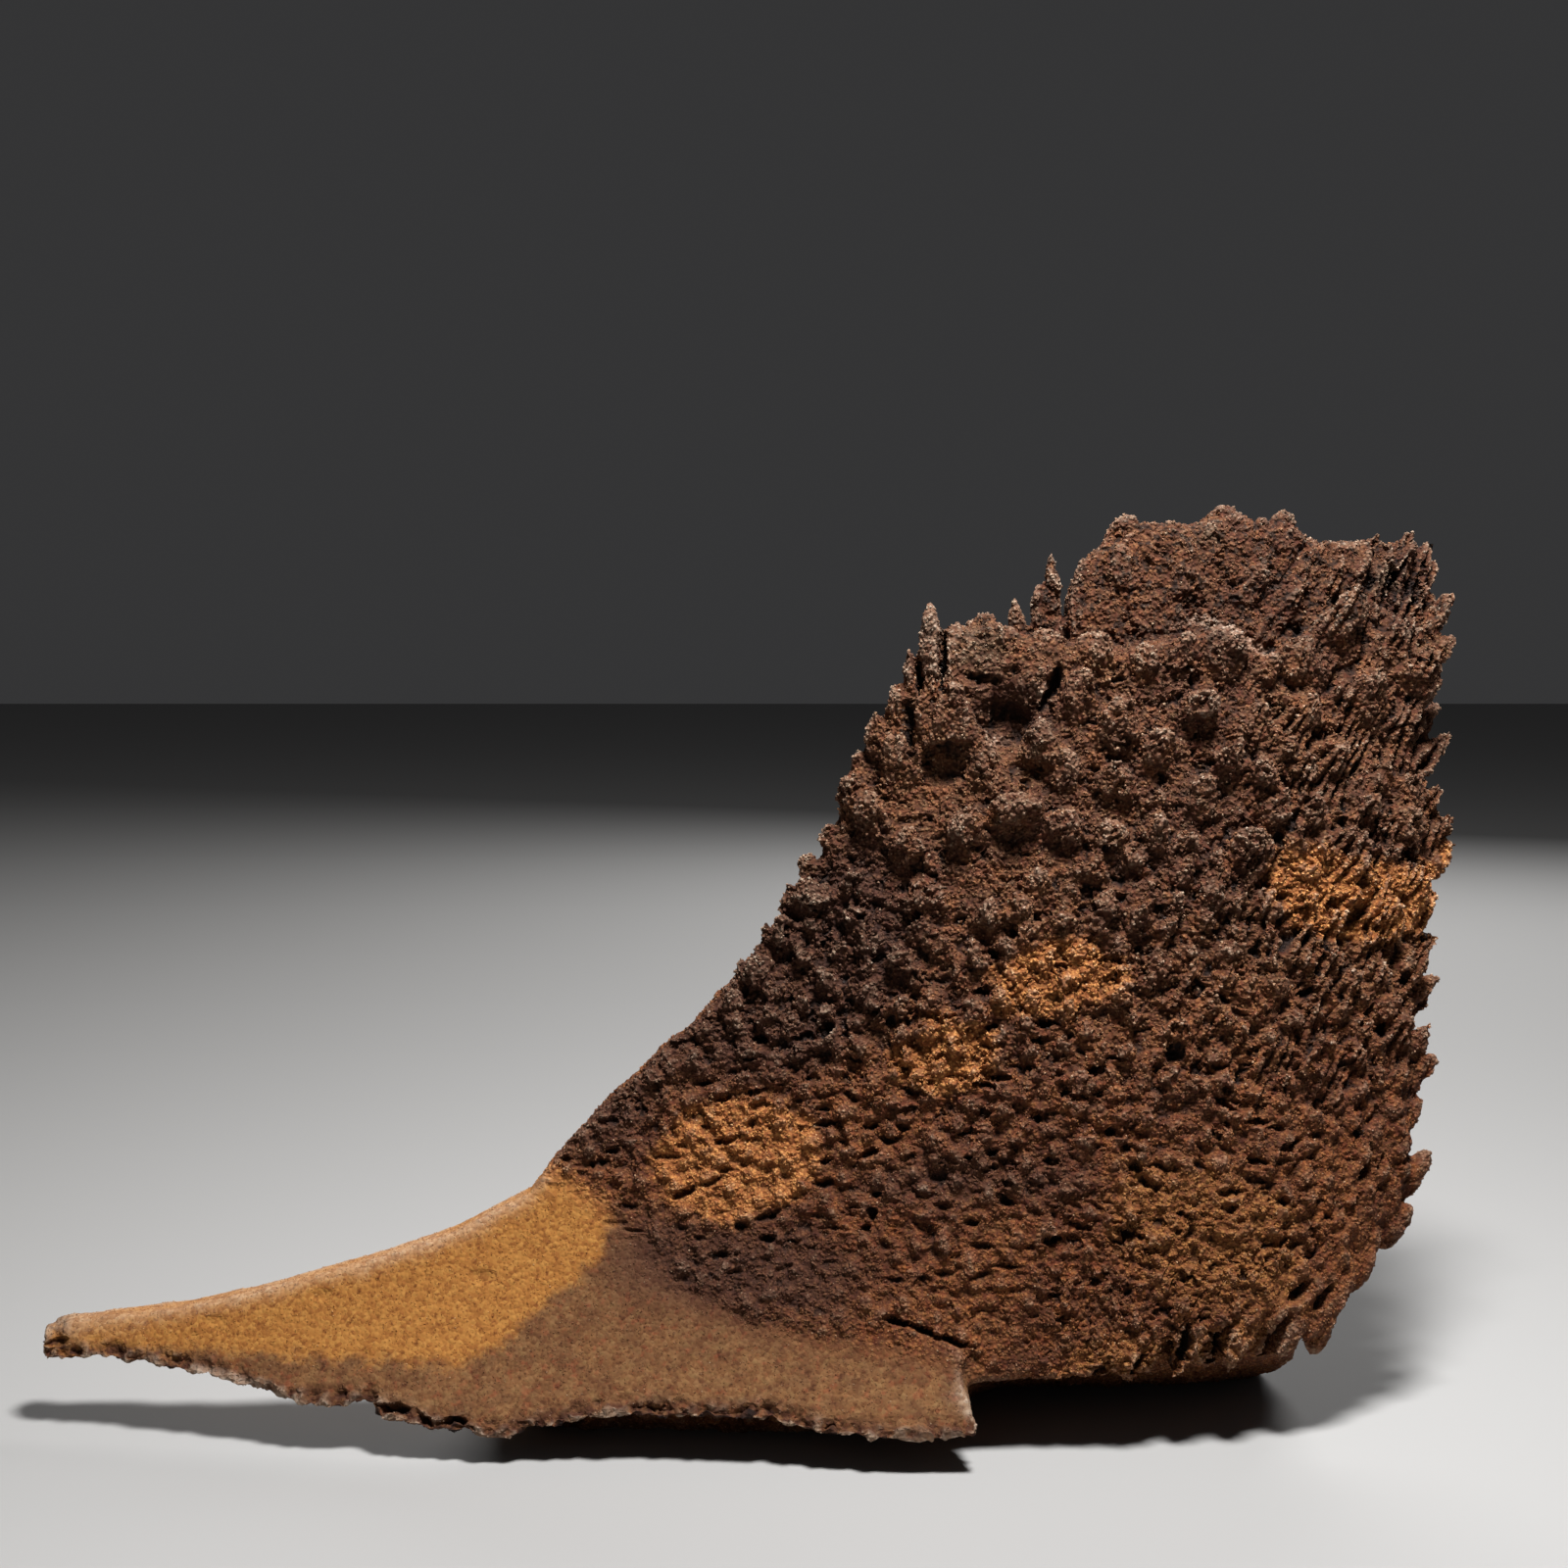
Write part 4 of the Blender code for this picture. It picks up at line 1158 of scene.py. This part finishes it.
    # Dust and a painted highlight on the crests, painted shade in the pits, fresh breaks and specks
    # with a painted glint.
    # Dust and a painted highlight where the surface stands out from its smoothed surface, less low
    # down.
    crest = mask(told["Relief"], *CREST_RELIEF, 0.0, 0.7)
    crest = times(crest, mask(low, 0.0, 1.0, 1.0, 0.6))
    brown = blend(crest, brown, CREST_DUST_AND_HIGHLIGHT)
    # Painted shade where the surface lies below its smoothed surface, less in the ochre.
    pit = mask(told["Relief"], *PIT_RELIEF, 0.0, 0.95)
    pit = times(pit, mask(ochre, 0.0, 1.0, 1.0, 0.75))
    brown = blend(pit, brown, PAINTED_SHADE)
    # Fresh breaks, and pale specks with a painted glint.
    broken = plus(told["Fresh Depth"], times(drift, 0.1))
    brown = blend(mask(broken, -0.8, 0.8, 0.0, 0.6), brown, FRESH_STONE_AND_GLINT)

    # Dull and bright grains.
    reach = mask(tongue, 0.0, 1.0, 1.0, 0.75, smooth=False)
    for end, most, tint in ((0.0, 0.75, DULL_GRAIN), (1.0, 0.6, BRIGHT_GRAIN)):
        share = times(mask(told["Tone"], 0.5, end, 0.0, most, smooth=False), reach)
        brown = blend(share, brown, blend(1.0, brown, tint, "MULTIPLY"))
    set_input(tree, result.inputs["Color"], brown)
    return tree


def new_material(name, roughness, specular=0.5):
    material = bpy.data.materials.new(name)
    material.use_nodes = True
    tree = material.node_tree
    shader = tree.nodes["Principled BSDF"]
    shader.inputs["Roughness"].default_value = roughness
    shader.inputs["Specular IOR Level"].default_value = specular
    return material, tree, shader, tree.nodes.new("ShaderNodeTexCoord").outputs["Object"]


def attribute(tree, name):
    node = tree.nodes.new("ShaderNodeAttribute")
    node.attribute_name = name
    return node.outputs["Fac"]


def stone_at(tree, stone_colour, where, tone):
    """The stone's colour, told by the values that each mesh carries."""
    values = {label: attribute(tree, name) for label, name, _ in STONE_VALUES}
    node = tree.nodes.new("ShaderNodeGroup")
    node.node_tree = stone_colour
    for label, value in {"Position": where, **values, "Tone": tone}.items():
        tree.links.new(value, node.inputs[label])
    return node.outputs["Color"]


def crust_finish(stone_colour):
    """The stone's colour, with packed grains that have a tone, rounded tops and painted shade in
    the pores between them.
    """
    material, tree, shader, where = new_material("scaly crust", 0.9, 0.25)
    cells = tree.nodes.new("ShaderNodeTexVoronoi")
    tree.links.new(where, cells.inputs["Vector"])
    cells.inputs["Scale"].default_value = CRUST_GRAINS_PER_METRE
    tone = tree.nodes.new("ShaderNodeSeparateColor")
    tree.links.new(cells.outputs["Color"], tone.inputs["Color"])
    height = remap(tree, cells.outputs["Distance"], 0.0, 0.8, 1.0, 0.0)
    stone = stone_at(tree, stone_colour, where, tone.outputs["Red"])
    tongue = attribute(tree, "tongue")
    # Painted shade in the pores between the grains, almost none on the tongue.
    pores = remap(tree, height, 0.2, 0.75, 0.3, 0.75)
    pores = maths(tree, "MAXIMUM", pores, maths(tree, "MULTIPLY", tongue, 0.97))
    gap = blend_colours(tree, pores, PORE_SHADE, WHITE)
    stone = blend_colours(tree, 1.0, stone, gap, "MULTIPLY")
    set_input(tree, shader.inputs["Base Color"], stone)
    bump = tree.nodes.new("ShaderNodeBump")
    bump.inputs["Distance"].default_value = GRAIN_BUMP * TO_METRES
    set_input(tree, bump.inputs["Strength"], remap(tree, tongue, 0.0, 1.0, 0.8, 0.3))
    set_input(tree, bump.inputs["Height"], height)
    set_input(tree, shader.inputs["Normal"], bump.outputs["Normal"])
    return material


def sand_finish(stone_colour):
    material, tree, shader, where = new_material("clinging sand", 0.75, 0.3)
    tone = attribute(tree, "tone")
    stone = stone_at(tree, stone_colour, where, tone)
    pale = remap(tree, tone, 0.97, 0.99, 0.0, 0.3)
    set_input(tree, shader.inputs["Base Color"], blend_colours(tree, pale, stone, QUARTZ))
    return material


# ---- stage and assembly ----
def build_stage():
    floor = new_object("floor", bpy.data.meshes.new("floor"))
    with editing(floor.data) as bm:
        bmesh.ops.create_grid(bm, x_segments=1, y_segments=1, size=FLOOR_HALF)
    material, _, shader, _ = new_material("pale floor", 0.9)
    shader.inputs["Base Color"].default_value = FLOOR_COLOUR
    floor.data.materials.append(material)

    world = bpy.data.worlds.new("studio air")
    world.use_nodes = True
    world.node_tree.nodes["Background"].inputs["Color"].default_value = AIR_COLOUR
    bpy.context.scene.world = world
    for name, spot, aim, side, power in LIGHTS:
        lamp = bpy.data.lights.new(name, "AREA")
        lamp.shape = "SQUARE"
        lamp.size = side
        lamp.energy = power
        ob = new_object(name, lamp)
        ob.location = spot
        ob.rotation_euler = (Vector(aim) - Vector(spot)).to_track_quat("-Z", "Y").to_euler()

    camera = new_object("camera", bpy.data.cameras.new("camera"))
    camera.data.lens = LENS
    camera.location = CAMERA_PLACE
    camera.rotation_euler = (math.radians(CAMERA_TILT), 0.0, 0.0)
    bpy.context.scene.camera = camera
    bpy.context.scene.view_settings.view_transform = "Standard"


def dress():
    stone_colour = stone_colour_group()
    crust = grow_crust()
    small, large = (relief(crust.data, rounds) for rounds in RELIEF_ROUNDS)
    write_value(crust.data, "relief", small + LARGE_RELIEF * large)
    write_places(crust.data, vertex_array(crust.data, "co"))
    crust.data.materials.clear()
    crust.data.materials.append(crust_finish(stone_colour))
    grain_material = sand_finish(stone_colour)
    sand = [cling_sand(name, crust, *how) for name, *how in SAND]
    for grains in sand:
        grains.data.materials.append(grain_material)
    halves = halve(crust)
    for half in halves:
        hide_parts(STONE)
    for piece in halves + sand:
        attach(piece, "root")


dress()
build_stage()
